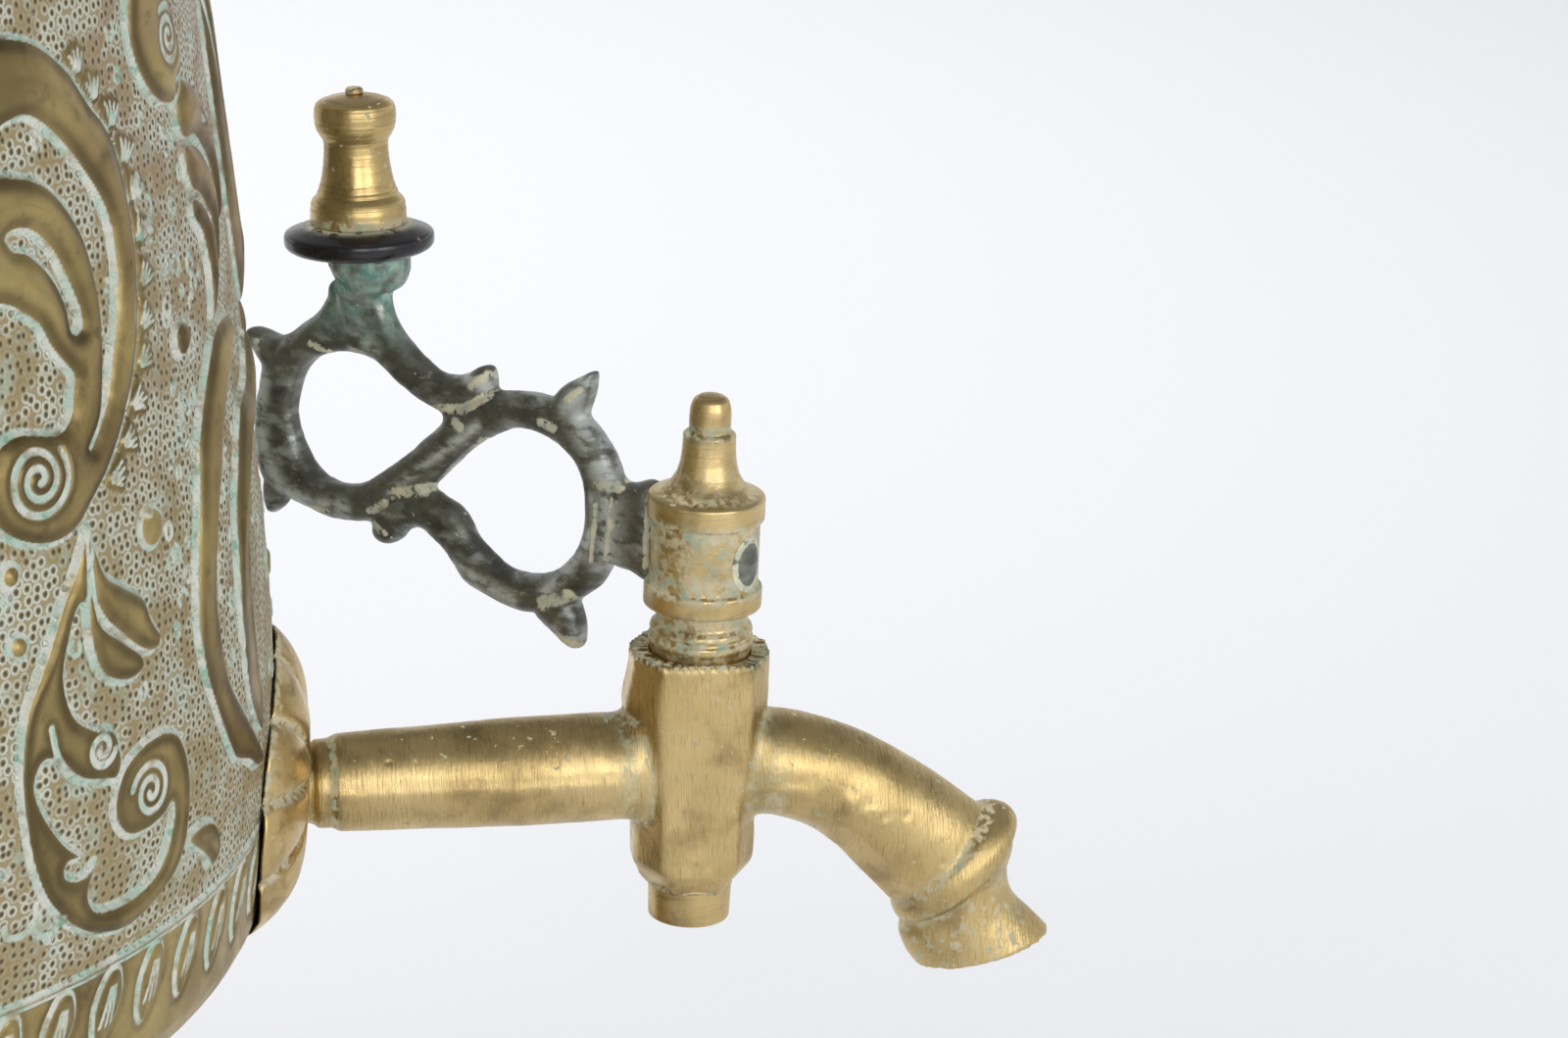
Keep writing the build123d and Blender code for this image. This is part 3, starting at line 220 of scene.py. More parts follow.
# The drawing, as (along, level): along is measured from the tap's line towards the left-hand grip.
# Each closed line is a leaf that stands out, and each pocket is sunk in the leaf that it lies in.
leaves = {
    "great_leaf": [
        (109, 229), (109, 232.5), (86, 236), (78, 236.5), (71.5, 236), (66, 234), (61, 230),
        (57.5, 225.5), (53.5, 220.5), (51.5, 214), (51, 206.5), (52, 199.5), (54, 193), (57.5, 187),
        (62, 181.5), (66.5, 177.5), (71, 174.5), (76.5, 174.5), (81.5, 177), (84, 180.5), (84, 184.5),
        (81.5, 188), (78, 189), (74, 188), (71, 187.5), (69, 189), (68, 192), (67.5, 193.5), (69, 195.5),
        (71, 198), (72.5, 201), (75, 203), (77.5, 204.5), (83, 206), (91.5, 207), (109, 207)],
    "scroll": [
        (68, 174.5), (71.5, 169.5), (74, 166.5), (78, 160), (81.5, 154.5), (83, 148), (83, 141),
        (82, 134), (79.5, 128), (74, 122.5), (66.5, 120), (59.5, 121.5), (54, 125), (51.5, 131.5),
        (51.5, 137.5), (54, 142.5), (59.5, 144), (65.5, 142), (68, 137), (66, 133), (62, 132),
        (58, 132.5), (56, 133.5), (56, 131), (59, 126), (64.5, 124), (71, 124.5), (73, 126.5),
        (73, 128.5), (71.5, 131.5), (73.5, 130.5), (75.5, 130.5), (77, 131.5), (76.5, 133), (74, 133),
        (77, 136), (80, 141), (81, 145), (79.5, 147.5), (77, 146.5), (73.5, 143), (68, 141), (66, 143),
        (67, 147.5), (70.5, 149), (74, 152), (75, 157), (73.5, 161.5), (71.5, 165), (69.5, 166),
        (67.5, 173)],
    "inner_finger": [(68.5, 170), (69.5, 166), (70, 161), (68.5, 155.5), (64, 153), (60.5, 153.5),
                     (60.5, 155.5), (64, 158.5), (68, 162.5)],
    "outer_finger": [(68, 174), (66, 168), (63, 165.5), (59, 162.5), (57.5, 159), (56, 156.5),
                     (57.5, 155), (60.5, 156), (64.5, 159.5), (67.5, 163), (69, 168)],
    "side_band": [(31.5, 188), (27, 189.5), (22, 189), (21, 186.5), (25, 182.5), (31, 177), (35, 170),
                  (36.5, 167.5), (40, 159), (40.5, 152.5), (38.5, 144.5), (34.5, 139), (27.5, 131.5),
                  (23, 126.5), (27.5, 127), (31.5, 129.5), (36, 131.5), (38, 133), (42, 139.5),
                  (45, 146), (46.5, 152), (46, 159), (43.5, 167.5), (41.5, 174.5), (40.5, 177.5),
                  (37, 182.5)],
    "side_leaf": [(8, 183), (14.5, 178), (22, 176), (27, 169.5), (30, 164.5), (31.5, 157.5), (32, 150),
                  (31, 141), (29, 136), (24.5, 131), (23, 136), (25, 142), (26.5, 151.5), (26, 159),
                  (23, 165), (17.5, 170), (8, 176)],
    "top_leaf": [(42, 241), (44.5, 235), (45.5, 230.5), (43.5, 225.5), (39.5, 221.5), (34.5, 220),
                 (30.5, 221.5), (29, 226), (30, 231), (31, 235), (29.5, 239.5), (24.5, 243),
                 (18, 244.5), (23, 249.5), (31, 250), (37.5, 246.5)],
    "long_plume": [(32, 222.5), (28, 222), (24, 220), (21, 217), (18, 213), (16.5, 207), (17.5, 202),
                   (20, 201), (20, 206), (21, 209), (24, 212), (27, 214), (31, 214.5), (33, 216.5),
                   (33, 220)],
    "middle_plume": [(31.5, 214), (27, 213), (24, 211), (21.5, 208), (20.5, 205), (21, 201),
                     (22.5, 197), (24, 196), (24, 202), (26, 204.5), (28, 206.5), (31, 208),
                     (32.5, 211)],
    "short_plume": [(31.5, 207), (28.5, 206), (26, 204), (24.5, 201.5), (24.5, 198), (25, 195),
                    (27, 192), (30, 189.5), (28.5, 193), (28, 196.5), (28.5, 199.5), (29.5, 202),
                    (32, 204.5)],
    "small_lobe": [(52, 126.5), (49, 127.5), (45, 126.5), (43, 124), (43, 121.5), (45, 120),
                   (46.5, 121.5), (48, 123)],
    "small_leaf": [(43.5, 192), (41.5, 193.5), (39, 192.5), (39, 190.5), (41, 189), (43, 189.5)],
    "spear": [(-9, 254), (3, 230), (6, 219), (7.5, 206), (6.5, 196), (3.5, 189), (-9, 181)],
    "swag": [(109, 256), (90, 254), (81, 249), (75, 241), (78.5, 240.5), (83.5, 246), (91, 250.5),
             (109, 252)],
    "upper_scroll": [(72, 243), (66, 250), (57, 255), (50, 253), (48, 246.5), (51.5, 242.5),
                     (56, 244), (57, 248), (62, 246.5), (67, 241)],
    "outer_swag": [(44, 250), (38, 255), (28, 256.5), (16, 255), (6, 250.5), (-9, 244), (-9, 240),
                   (7, 246), (17, 250), (28, 252.5), (37, 251)],
    "bud": [(95, 193), (109, 188), (109, 205), (95.5, 201), (92.5, 197)]}
pockets = {
    "crescent": [(84, 220.5), (80, 224), (75, 225.5), (70, 226), (65.5, 223), (61, 218), (57, 212),
                 (56, 206), (57, 200), (59.5, 194), (62, 188.5), (66, 184), (63, 187.5), (61.5, 193),
                 (60.5, 199.5), (61, 206), (63, 211.5), (67.5, 217), (73, 219.5), (79, 220.5)],
    "tear": [(76, 212.5), (74.5, 213), (72, 212.5), (69, 210), (67, 206.5), (65, 201.5), (65, 199),
             (66.5, 199), (67, 202.5), (69, 206.5), (72.5, 210), (75, 211)]}
creases = [[(78, 151.5), (77, 147), (73.5, 143), (68, 141)], [(3, 232), (2.5, 214), (1, 192)],
           [(86.5, 127.5), (86, 126), (83.5, 125.5), (81.5, 127), (81.5, 129)],
           [(82.5, 126.5), (81, 124.5), (78.5, 124), (77.5, 126)], [(31, 174), (36, 165), (38, 155)]]
volutes = [  # centre, outer radius, turns, where the line starts in degrees
    ((76.5, 183.0), 5.2, 2.3, 150), ((60.5, 137.0), 4.0, 1.9, 20), ((35.5, 229.0), 4.0, 2.2, 60),
    ((69.5, 146.0), 2.5, 1.5, 200), ((23.5, 217.0), 2.2, 1.6, 30), ((53.5, 248.0), 2.6, 1.6, 250)]
rings = [((55.0, 170.5), 2.7), ((81.5, 172.0), 1.6), ((81.5, 163.0), 1.6), ((46.0, 206.5), 1.3),
         ((10.0, 150.0), 2.2), ((14.0, 137.0), 1.6), ((92.0, 165.0), 2.4), ((91.5, 146.0), 2.0)]
fanned_edges = [  # stretches of leaf edge with little fans of tool strokes, and which side they lie on
    ([(61, 230), (57.5, 225.5), (53.5, 220.5), (51.5, 214), (51, 206.5), (52, 199.5), (54, 193),
      (57.5, 187), (62, 181.5), (66.5, 177.5)], 1),
    ([(40.5, 177.5), (43.5, 167.5), (46, 159), (46.5, 152), (45, 146), (42, 139.5), (38, 133)], 1)]

along = np.arange(-4.0, half_cartouche + 4.0, cell)
level = np.arange(97.0, 288.0, cell)
drawing = (len(level), len(along))


def ramp(value, start, end):
    """0 up to a start and 1 from an end on, with a straight rise between them."""
    return np.clip((value - start) / (end - start), 0, 1)


def smooth_line(points, closed, steps=5):
    """Points on a smooth line through the drawn ones."""
    knots = np.array(points, float)
    if closed:
        knots = np.vstack([knots[-1:], knots, knots[:2]])
    else:
        knots = np.vstack([2 * knots[:1] - knots[1:2], knots, 2 * knots[-1:] - knots[-2:-1]])
    share = np.linspace(0, 1, steps, endpoint=False)[:, None]
    line = []
    for p0, p1, p2, p3 in zip(knots, knots[1:], knots[2:], knots[3:]):
        line.append(p1 + 0.5 * ((p2 - p0) * share + (2 * p0 - 5 * p1 + 4 * p2 - p3) * share ** 2
                                + (3 * p1 - p0 - 3 * p2 + p3) * share ** 3))
    return np.vstack(line + [knots[-2:-1]])


def cells_between(axis, low, high):
    """The first and the last cell of an even axis between two places."""
    return np.clip(((np.array([low, high]) - axis[0]) / (axis[1] - axis[0])).astype(int), 0, len(axis))


def away_from(line, reach=5.0, grid=None):
    """How far each cell lies from a line, up to a reach."""
    across, up = grid or (along, level)
    found = np.full((len(up), len(across)), reach, np.float32)
    for (x0, y0), (x1, y1) in zip(line[:-1], line[1:]):
        i0, i1 = cells_between(across, min(x0, x1) - reach, max(x0, x1) + reach)
        j0, j1 = cells_between(up, min(y0, y1) - reach, max(y0, y1) + reach)
        if i0 >= i1 or j0 >= j1:
            continue
        x, y = across[None, i0:i1] - x0, up[j0:j1, None] - y0
        length = (x1 - x0) ** 2 + (y1 - y0) ** 2 + 1e-9
        share = np.clip((x * (x1 - x0) + y * (y1 - y0)) / length, 0, 1)
        far = np.hypot(x - share * (x1 - x0), y - share * (y1 - y0))
        np.minimum(found[j0:j1, i0:i1], far, out=found[j0:j1, i0:i1])
    return found


def within(line, grid=None):
    """Which cells a closed line holds."""
    across, up = grid or (along, level)
    step = across[1] - across[0]
    turns = np.zeros((len(up), len(across) + 1), bool)
    for (x0, y0), (x1, y1) in zip(line[:-1], line[1:]):
        if y0 == y1:
            continue
        rows = np.nonzero((up > min(y0, y1)) & (up <= max(y0, y1)))[0]
        crossing = x0 + (up[rows] - y0) * (x1 - x0) / (y1 - y0)
        columns = np.clip(np.ceil((crossing - across[0]) / step).astype(int), 0, len(across))
        np.logical_xor.at(turns, (rows, columns), True)
    return np.logical_xor.accumulate(turns[:, :-1], axis=1)


def run_along(line):
    """How far along a line each of its points lies."""
    return np.concatenate([[0], np.cumsum(np.hypot(*np.diff(line, axis=0).T))])


def spiral(centre, outer, turns, start):
    """A volute's line, from its outer end in to its eye."""
    angles = np.radians(start) + np.linspace(0, 2 * pi * turns, int(26 * turns))
    radii = np.linspace(outer, 0.5, len(angles))
    return np.column_stack([centre[0] + radii * np.cos(angles), centre[1] + radii * np.sin(angles)])


def bell(distance, width):
    """1 on a line, falling to nothing a little more than a width away from it."""
    return np.exp(-(distance / width) ** 2)


def cloud(shape, size, draw):
    """Soft random blotches between 0 and 1, about size cells across."""
    coarse = draw.random((int(shape[0] / size) + 3, int(shape[1] / size) + 3))
    rows, columns = np.arange(shape[0]) / size, np.arange(shape[1]) / size
    i, j = rows.astype(int), columns.astype(int)
    fi, fj = (rows - i)[:, None], (columns - j)[None, :]
    fi, fj = fi * fi * (3 - 2 * fi), fj * fj * (3 - 2 * fj)
    top = coarse[i][:, j] * (1 - fj) + coarse[i][:, j + 1] * fj
    return top * (1 - fi) + (coarse[i + 1][:, j] * (1 - fj) + coarse[i + 1][:, j + 1] * fj) * fi


def nearest_of(lines, reach=5.0):
    """How far each cell of the drawing lies from the nearest of several lines."""
    found = np.full(drawing, reach, np.float32)
    for line in lines:
        np.minimum(found, away_from(line, reach), out=found)
    return found


def any_holds(lines):
    """Which cells one of several closed lines holds."""
    return np.any([within(line) for line in lines], axis=0)


def over(field, strength, distance, width, where=True):
    """A field with a soft line laid over it, which shows where the field isn't stronger already."""
    return np.maximum(field, np.where(where, strength * bell(distance, width), 0))


# Four fields are drawn: relief in millimetres, pale for dried polish, shade for painted shade in hollows
# and beside lines, and ground for the matting. Each kind of line adds to them by its own depth or
# strength, and its own width.
chaser = np.random.default_rng(11)
leaf_lines = [smooth_line(points, True) for points in leaves.values()]
pocket_lines = [smooth_line(points, True) for points in pockets.values()]
raised = any_holds(leaf_lines) & ~any_holds(pocket_lines)
edge = nearest_of(leaf_lines + pocket_lines)
relief = np.where(raised, relief_height * (1 - np.exp(-edge / leaf_shoulder)), -0.3 * bell(edge, 0.8))
pale = np.where(raised, bell(edge, 0.32), bell(edge, 0.62))
ground = np.where(raised, 0.0, 1.0)
# painted shade along the leaves' inner edges, and on the ground just beside them
shade = np.where(raised, 0.9 * bell(edge - 1.1, 0.9), 0.6 * bell(edge - 1.3, 0.6))

line_far = nearest_of([spiral(*volute) for volute in volutes]
                      + [smooth_line(points, False) for points in creases])
relief -= 0.6 * bell(line_far, 0.5)
pale = over(pale, 1.0, line_far, 0.50)
# painted shade beside the volutes and creases
shade = over(shade, 0.7, line_far - 0.9, 0.5)

for centre, radius in rings:
    far = np.hypot(along[None, :] - centre[0], level[:, None] - centre[1])
    on_ground = ground > 0.5
    relief += np.where(on_ground, 0.55 * bell(far, radius * 0.62) - 0.25 * bell(far - radius, 0.45), 0)
    pale = over(pale, 1.0, far - radius, 0.42, on_ground)
    ground = np.where(far < radius, 0.0, ground)

strokes = []
for points, out in fanned_edges:
    line = smooth_line(points, False, 12)
    run = run_along(line)
    for place in np.arange(2.0, run[-1], fan_pitch):
        i = int(np.searchsorted(run, place))
        heading = atan2(*(line[min(i + 2, len(line) - 1)] - line[max(i - 2, 0)])[::-1])
        clear = heading - out * pi / 2
        root = line[i] + np.array([cos(clear), sin(clear)])
        for fan in fan_strokes:
            angle = heading - out * radians(fan)
            way = np.array([cos(angle), sin(angle)])
            strokes.append([root + 0.7 * way, root + chaser.uniform(3.0, 3.7) * way])
stroke_far = nearest_of(strokes, 3.0)
on_ground = (~raised) & (edge > 0.5)
relief += np.where(on_ground, 0.50 * bell(stroke_far, 0.26), 0)
pale = over(pale, 0.95, stroke_far, 0.24, on_ground)
# painted shade beside each tool stroke
shade = over(shade, 0.8, stroke_far - 0.55, 0.25, on_ground)
ground = np.where(stroke_far < 1.1, 0.0, ground)

curls = []
for _ in range(small_curls):
    place = np.array([chaser.uniform(2, half_cartouche - 2), chaser.uniform(120, 258)])
    if chaser.random() < 0.45:  # they crowd between the side leaves and the great leaf
        place = np.array([chaser.uniform(28, 52), chaser.uniform(136, 240)])
    i, j = int((place[1] - level[0]) / cell), int((place[0] - along[0]) / cell)
    if raised[i, j] or edge[i, j] < 1.0:
        continue
    turn, radius, sweep = chaser.uniform(0, 2 * pi), chaser.uniform(0.5, 1.1), chaser.uniform(3.0, 5.8)
    angles = turn + np.linspace(0, sweep, 9)
    curls.append(place + radius * np.column_stack([np.cos(angles), 1.25 * np.sin(angles)]))
curl_far = nearest_of(curls, 2.0)
relief += np.where(on_ground, 0.30 * bell(curl_far, 0.3) - 0.12 * bell(curl_far - 0.6, 0.25), 0)
pale = over(pale, 1.0, curl_far, 0.38, on_ground)

# The two borders: a line, and a row of leaves with little veins on the plain side of it.
for line_level, tip_level, lean in ((border_level, lancet_tip_level, 2.6),
                                    (upper_border_level, upper_border_level + upper_lancet, 1.5)):
    past = (level < line_level) if tip_level < line_level else (level > line_level)
    relief, pale, ground, shade = (np.where(past[:, None], 0.0, field)
                                   for field in (relief, pale, ground, shade))
    bead = np.abs(level - line_level)[:, None]
    relief += 0.35 * bell(bead, 0.5)
    pale = over(pale, 1.0, bead - 0.5, 0.34)
    outlines, veins = [], []
    pitch, fall = half_cartouche / border_leaves, tip_level - line_level
    for i in range(-1, border_leaves + 1):
        root = (i + 0.5) * pitch
        wobble = chaser.uniform(-0.25, 0.25)
        outlines.append(smooth_line([(root + across, line_level + share * fall) for across, share in (
            (-1.4, 0.16), (-2.9 + lean * 0.5, 0.5), (-1.6 + lean * 0.9 + wobble, 0.84), (lean + 0.4, 1.0),
            (2.2 + lean * 0.7, 0.8), (2.7 + lean * 0.35, 0.45), (1.7, 0.15), (0.2, 0.07))], True))
        veins += [[(root + 0.4 * slant + lean * 0.2, line_level + 0.28 * fall),
                   (root + slant + lean * 0.75, line_level + 0.74 * fall)] for slant in (-1.2, -0.1, 1.0)]
    leaf_in, leaf_far, vein_far = any_holds(outlines), nearest_of(outlines, 3.0), nearest_of(veins, 3.0)
    relief += np.where(leaf_in, 0.75 * (1 - np.exp(-leaf_far / 0.9)), -0.3 * bell(leaf_far, 0.5))
    relief -= np.where(leaf_in, 0.22 * bell(vein_far, 0.3), 0)
    pale = over(over(pale, 0.9, leaf_far, 0.36), 0.75, vein_far, 0.32, leaf_in)
    # painted shade beside the border leaves
    shade = over(shade, 0.7, leaf_far - 0.8, 0.5)

relief += 0.10 * (cloud(drawing, 26, chaser) - 0.5) + 0.05 * (cloud(drawing, 9, chaser) - 0.5)
relief -= ground_sink * np.where(level < border_level, 0.0, 1.0)[:, None] * ground
for _ in range(2):  # the hammer leaves no sharp corner
    inner = relief[1:-1, 1:-1]
    relief[1:-1, 1:-1] = (inner * 2 + relief[:-2, 1:-1] + relief[2:, 1:-1] + relief[1:-1, :-2]
                          + relief[1:-1, 2:]) / 6


def drawn_at(field, around, up):
    """The drawing's value at places on the tank, given in degrees round it and millimetres up."""
    turn = np.mod(around - tap_turn, 2 * 180 / cartouches)
    turn = np.minimum(turn, 2 * 180 / cartouches - turn)
    x = np.clip((turn * girth - along[0]) / cell, 0, len(along) - 1.001)
    y = np.clip((up - level[0]) / cell, 0, len(level) - 1.001)
    i, j = y.astype(int), x.astype(int)
    fi, fj = y - i, x - j
    low = field[i, j] * (1 - fj) + field[i, j + 1] * fj
    value = low * (1 - fi) + (field[i + 1, j] * (1 - fj) + field[i + 1, j + 1] * fj) * fi
    return np.where((up > level[0]) & (up < level[-1]), value, 0.0)


def ring_faces(rows, columns):
    """Quads between rings of points that each close on themselves."""
    i, j = np.meshgrid(np.arange(rows - 1), np.arange(columns), indexing="ij")
    following = (j + 1) % columns
    quads = np.stack([i * columns + j, i * columns + following, (i + 1) * columns + following,
                      (i + 1) * columns + j], axis=-1)
    return quads.reshape(-1, 4)


def round_axis(radius, around, height):
    """Points given by radius, degrees round the z axis and height."""
    angle = np.radians(around)
    return np.stack(np.broadcast_arrays(radius * np.cos(angle), radius * np.sin(angle), height), -1)


def set_mask(mesh, name, values):
    """Keep a number for every point of a mesh, for its material to read."""
    layer = mesh.attributes.new(name, "FLOAT", "POINT")
    layer.data.foreach_set("value", np.asarray(values, np.float32).ravel())


# Rows of points up the side lie closer together where it is chased, and columns beside the tap.
side_curve = smooth_line([(r, z + tank_low) for r, z in tank_side], False, 40)
run = run_along(side_curve)
stops, reached = [0.0], 0.0
while reached < run[-1] - 0.3:
    here = np.interp(reached, run, side_curve[:, 1])
    reached += 0.40 if 102 < here < 246 else 0.7
    stops.append(min(reached, run[-1]))
stops = np.array(stops)
turns = np.concatenate([np.arange(-150, -84, 0.23), np.arange(-84, 210, 0.42)])
side_r = np.interp(stops, run, side_curve[:, 0])
side_z = np.interp(stops, run, side_curve[:, 1])
slope_r, slope_z = np.gradient(side_r, stops), np.gradient(side_z, stops)
steep = np.hypot(slope_r, slope_z)
out_r, out_z = slope_z / steep, -slope_r / steep

around, up = np.meshgrid(turns, side_z)
plate_far = np.hypot((np.mod(around - tap_turn + 180, 360) - 180) * girth, up - tap_level)
fade = ramp(plate_far, plate_plain, plate_plain + plate_fade)
lift = drawn_at(relief, around, up) * fade
for pad in pad_turns:
    off = np.mod(around - pad + 180, 360) - 180
    pad_far = np.hypot(off * girth / pad_half_width, (up - pad_level) / pad_half_height)
    lift *= ramp(pad_far, 1.0, 1.1)
radius = np.minimum(side_r[:, None] + lift * out_r[:, None], belly_limit)
height = up + lift * out_z[:, None]
outside = round_axis(radius, around, height)

inside_rows = np.linspace(0, len(stops) - 1, 36).astype(int)[::-1]
inside_r = side_r[inside_rows, None] - tank_wall * out_r[inside_rows, None]
inside_z = np.clip(side_z[inside_rows] - tank_wall * out_z[inside_rows], tank_low + tank_wall, tank_high)
inside = round_axis(inside_r, turns, inside_z[:, None])
points = np.concatenate([outside.reshape(-1, 3), inside.reshape(-1, 3)])
quads = ring_faces(len(stops) + len(inside_rows) + 1, len(turns))
quads = np.where(quads >= len(points), quads - len(points), quads)  # the last ring is the first again

tank_mesh = bpy.data.meshes.new("chased_tank")
tank_mesh.vertices.add(len(points))
tank_mesh.vertices.foreach_set("co", (points * mm).astype(np.float32).ravel())
tank_mesh.loops.add(quads.size)
tank_mesh.loops.foreach_set("vertex_index", quads.astype(np.int32).ravel())
tank_mesh.polygons.add(len(quads))
tank_mesh.polygons.foreach_set("loop_start", np.arange(0, quads.size, 4, dtype=np.int32))
tank_mesh.polygons.foreach_set("use_smooth", np.ones(len(quads), bool))
tank_mesh.update(calc_edges=True)
tank_mesh.validate()

# The side is unrolled into one sheet: the outside takes the lower part of it, the inside the rest.
outside_share, inside_start, inside_share = 0.86, 0.89, 0.10
unrolled = tank_mesh.uv_layers.new(name="OFBake")
column, row = quads % len(turns), quads // len(turns)
wrapped = column.max(axis=1) - column.min(axis=1) > 1
share_round = (turns[column] - turns[0]) / 360.0
share_round[wrapped] += (column[wrapped] == 0)
share_up = np.where(row < len(stops),
                    0.02 + outside_share * stops[np.minimum(row, len(stops) - 1)] / stops[-1],
                    inside_start + inside_share * (row - len(stops)) / len(inside_rows))
share_up[(row == 0) & (row.max(axis=1, keepdims=True) > 1)] = 0.999
unrolled.data.foreach_set("uv", np.stack([share_round, share_up], -1).astype(np.float32).ravel())

# Copper shows most on the upper belly, over the tap.
warm_belly = (ramp(up, 165, 225) * ramp(around, -134, -94) * np.clip(1.6 - np.abs(around + 95) / 60, 0.25, 1)
              * np.clip((275 - up) / 15, 0.3, 1))
between_borders = (up > border_level) & (up < upper_border_level)
# The shade mask carries the painted shade from the drawing onto the tank.
masks = {"pale": drawn_at(pale, around, up) * fade, "shade": drawn_at(shade, around, up) * fade,
         "ground": drawn_at(ground, around, up) * between_borders, "warm": warm_belly}
for name, values in masks.items():
    set_mask(tank_mesh, name, np.concatenate([values.ravel(), np.zeros(len(points) - values.size)]))
tank = bpy.data.objects.new("chased_tank", tank_mesh)
bpy.context.scene.collection.objects.link(tank)

# Colours of the chased sheet: olive brass on the leaves, tan in the ground, copper where it has worn,
# and a dark brown for the painted shade in hollows.
olive, gold, copper_pink = (0.225, 0.168, 0.066), (0.450, 0.345, 0.140), (0.37, 0.245, 0.155)
brown_tarnish, painted_hollow_shade = (0.10, 0.075, 0.036), (0.085, 0.062, 0.028)
ground_tan, ground_pink, punch_dark = (0.335, 0.255, 0.112), (0.37, 0.245, 0.165), (0.070, 0.055, 0.028)
mint, grey_white, verdigris = (0.48, 0.60, 0.50), (0.68, 0.69, 0.61), (0.25, 0.45, 0.34)
punch_rim = (0.64, 0.66, 0.56)
punch_pitch = 1.55
side_length, side_rise = 360 * girth, stops[-1] / outside_share


class Finish(Nodes):
    """The nodes of a new material, with its shader and the coordinates of the piece that wears it."""

    def __init__(self, name):
        self.material = bpy.data.materials.new(name)
        self.material.use_nodes = True
        super().__init__(self.material.node_tree)
        self.shader = self.tree.nodes["Principled BSDF"]
        self.here = self.add("ShaderNodeTexCoord").outputs["Object"]

    def squeezed(self, scale):
        """Coordinates squeezed along x, y and z, for marks that run one way."""
        return self.add("ShaderNodeMapping", Vector=self.here, Scale=scale).outputs[0]

    def noise(self, per_mm, detail, rough=0.55, where=None):
        """Soft noise, its grain given as waves to the millimetre."""
        return self.add("ShaderNodeTexNoise", Vector=where or self.here, Scale=per_mm / mm, Detail=detail,
                        Roughness=rough).outputs["Fac"]

    def patches(self, per_mm, detail, low, high, to_low=0.0, to_high=1.0, rough=0.55, where=None):
        """Noise stretched from one range to another, which leaves soft-edged patches."""
        return self.spread(self.noise(per_mm, detail, rough, where), low, high, to_low, to_high)

    def mask(self, name):
        """A number that the mesh keeps at its points; 0 where it keeps none."""
        return self.add("ShaderNodeAttribute", attribute_name=name).outputs["Fac"]

    def surface(self, colour, rough, metallic=None):
        """Link what the shader shows."""
        self.wire(self.shader.inputs["Base Color"], colour)
        self.wire(self.shader.inputs["Roughness"], rough)
        if metallic:
            self.wire(self.shader.inputs["Metallic"], metallic)

    def raise_by(self, *layers):
        """Raise the surface by layers of (height, depth in millimetres)."""
        normal = None
        for height, depth in layers:
            made = self.add("ShaderNodeBump", Strength=1.0, Distance=depth * mm, Height=height)
            if normal:
                self.wire(made.inputs["Normal"], normal)
            normal = made.outputs["Normal"]
        self.wire(self.shader.inputs["Normal"], normal)


chased = Finish("chased_brass")
unrolled_place = chased.add("ShaderNodeUVMap", uv_map="OFBake").outputs["UV"]
punched = chased.add("ShaderNodeMapping", Vector=unrolled_place,
                     Scale=(side_length / punch_pitch, side_rise / punch_pitch, 1)).outputs[0]
punch = chased.add("ShaderNodeTexVoronoi", voronoi_dimensions="2D", Vector=punched, Scale=1.0,
                   Randomness=0.55).outputs["Distance"]
ground_mask = chased.mask("ground")
warm = chased.times(chased.mask("warm"), chased.patches(0.07, 4, 0.30, 0.54))
brass = chased.mix(chased.patches(0.045, 5, 0.36, 0.66), olive, gold)
brass = chased.mix(warm, brass, copper_pink)
brass = chased.mix(chased.patches(0.35, 5, 0.52, 0.78, 0.0, 0.6), brass, brown_tarnish)
# Painted shade: the brass goes dark brown where the shade mask lies, broken by patches.
in_shade = chased.times(chased.mask("shade"), chased.patches(0.06, 3, 0.30, 0.62, 0.35, 0.95))
brass = chased.mix(in_shade, brass, painted_hollow_shade)
# Each punch is a pale ring round a dark hole; the rings have worn away in patches.
ringed = chased.times(chased.spread(punch, 0.20, 0.32), chased.spread(punch, 0.44, 0.60, 1.0, 0.15))
ringed = chased.times(ringed, chased.patches(0.13, 5, 0.42, 0.58, 0.15, 0.9))
matted = chased.mix(chased.patches(0.20, 5, 0.52, 0.66, 0.0, 0.5), ground_tan, mint)
matted = chased.mix(warm, matted, ground_pink)
matted = chased.mix(ringed, matted, punch_rim)
matted = chased.mix(chased.spread(punch, 0.10, 0.24, 0.92, 0.0), matted, punch_dark)
chalk = chased.mix(chased.patches(0.22, 4, 0.4, 0.62), grey_white, mint)
chalk = chased.mix(chased.patches(0.5, 3, 0.56, 0.70, 0.0, 0.9), chalk, verdigris)
speck = chased.times(chased.patches(1.1, 4, 0.64, 0.74), 0.5)
chalk_share = chased.times(chased.spread(chased.mask("pale"), 0.22, 0.62),
                           chased.patches(0.35, 5, 0.30, 0.52, 0.30, 1.0))
chalk_share = chased.most(chalk_share, chased.times(speck, ground_mask))
bare = chased.sums("SUBTRACT", 1.0, chalk_share, clamp=True)
chased.surface(chased.mix(chalk_share, chased.mix(ground_mask, brass, matted), chalk),
               chased.most(chased.patches(0.25, 4, 0.3, 0.7, 0.33, 0.50), chased.times(chalk_share, 0.85),
                           chased.times(ground_mask, 0.55)),
               chased.times(bare, chased.spread(ground_mask, 0.2, 0.8, 0.92, 0.45)))
punch_height = chased.sums("ADD", chased.spread(punch, 0.10, 0.36, -1.0, 0.6), ringed)
chased.raise_by((chased.times(punch_height, ground_mask), 0.11), (chased.noise(0.8, 5), 0.05),
                (chased.times(chalk_share, chased.noise(2.2, 3)), 0.12))
tank_mesh.materials.append(chased.material)
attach(tank, "samovar_body")
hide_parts("tank_shell", "tank_shoulder")

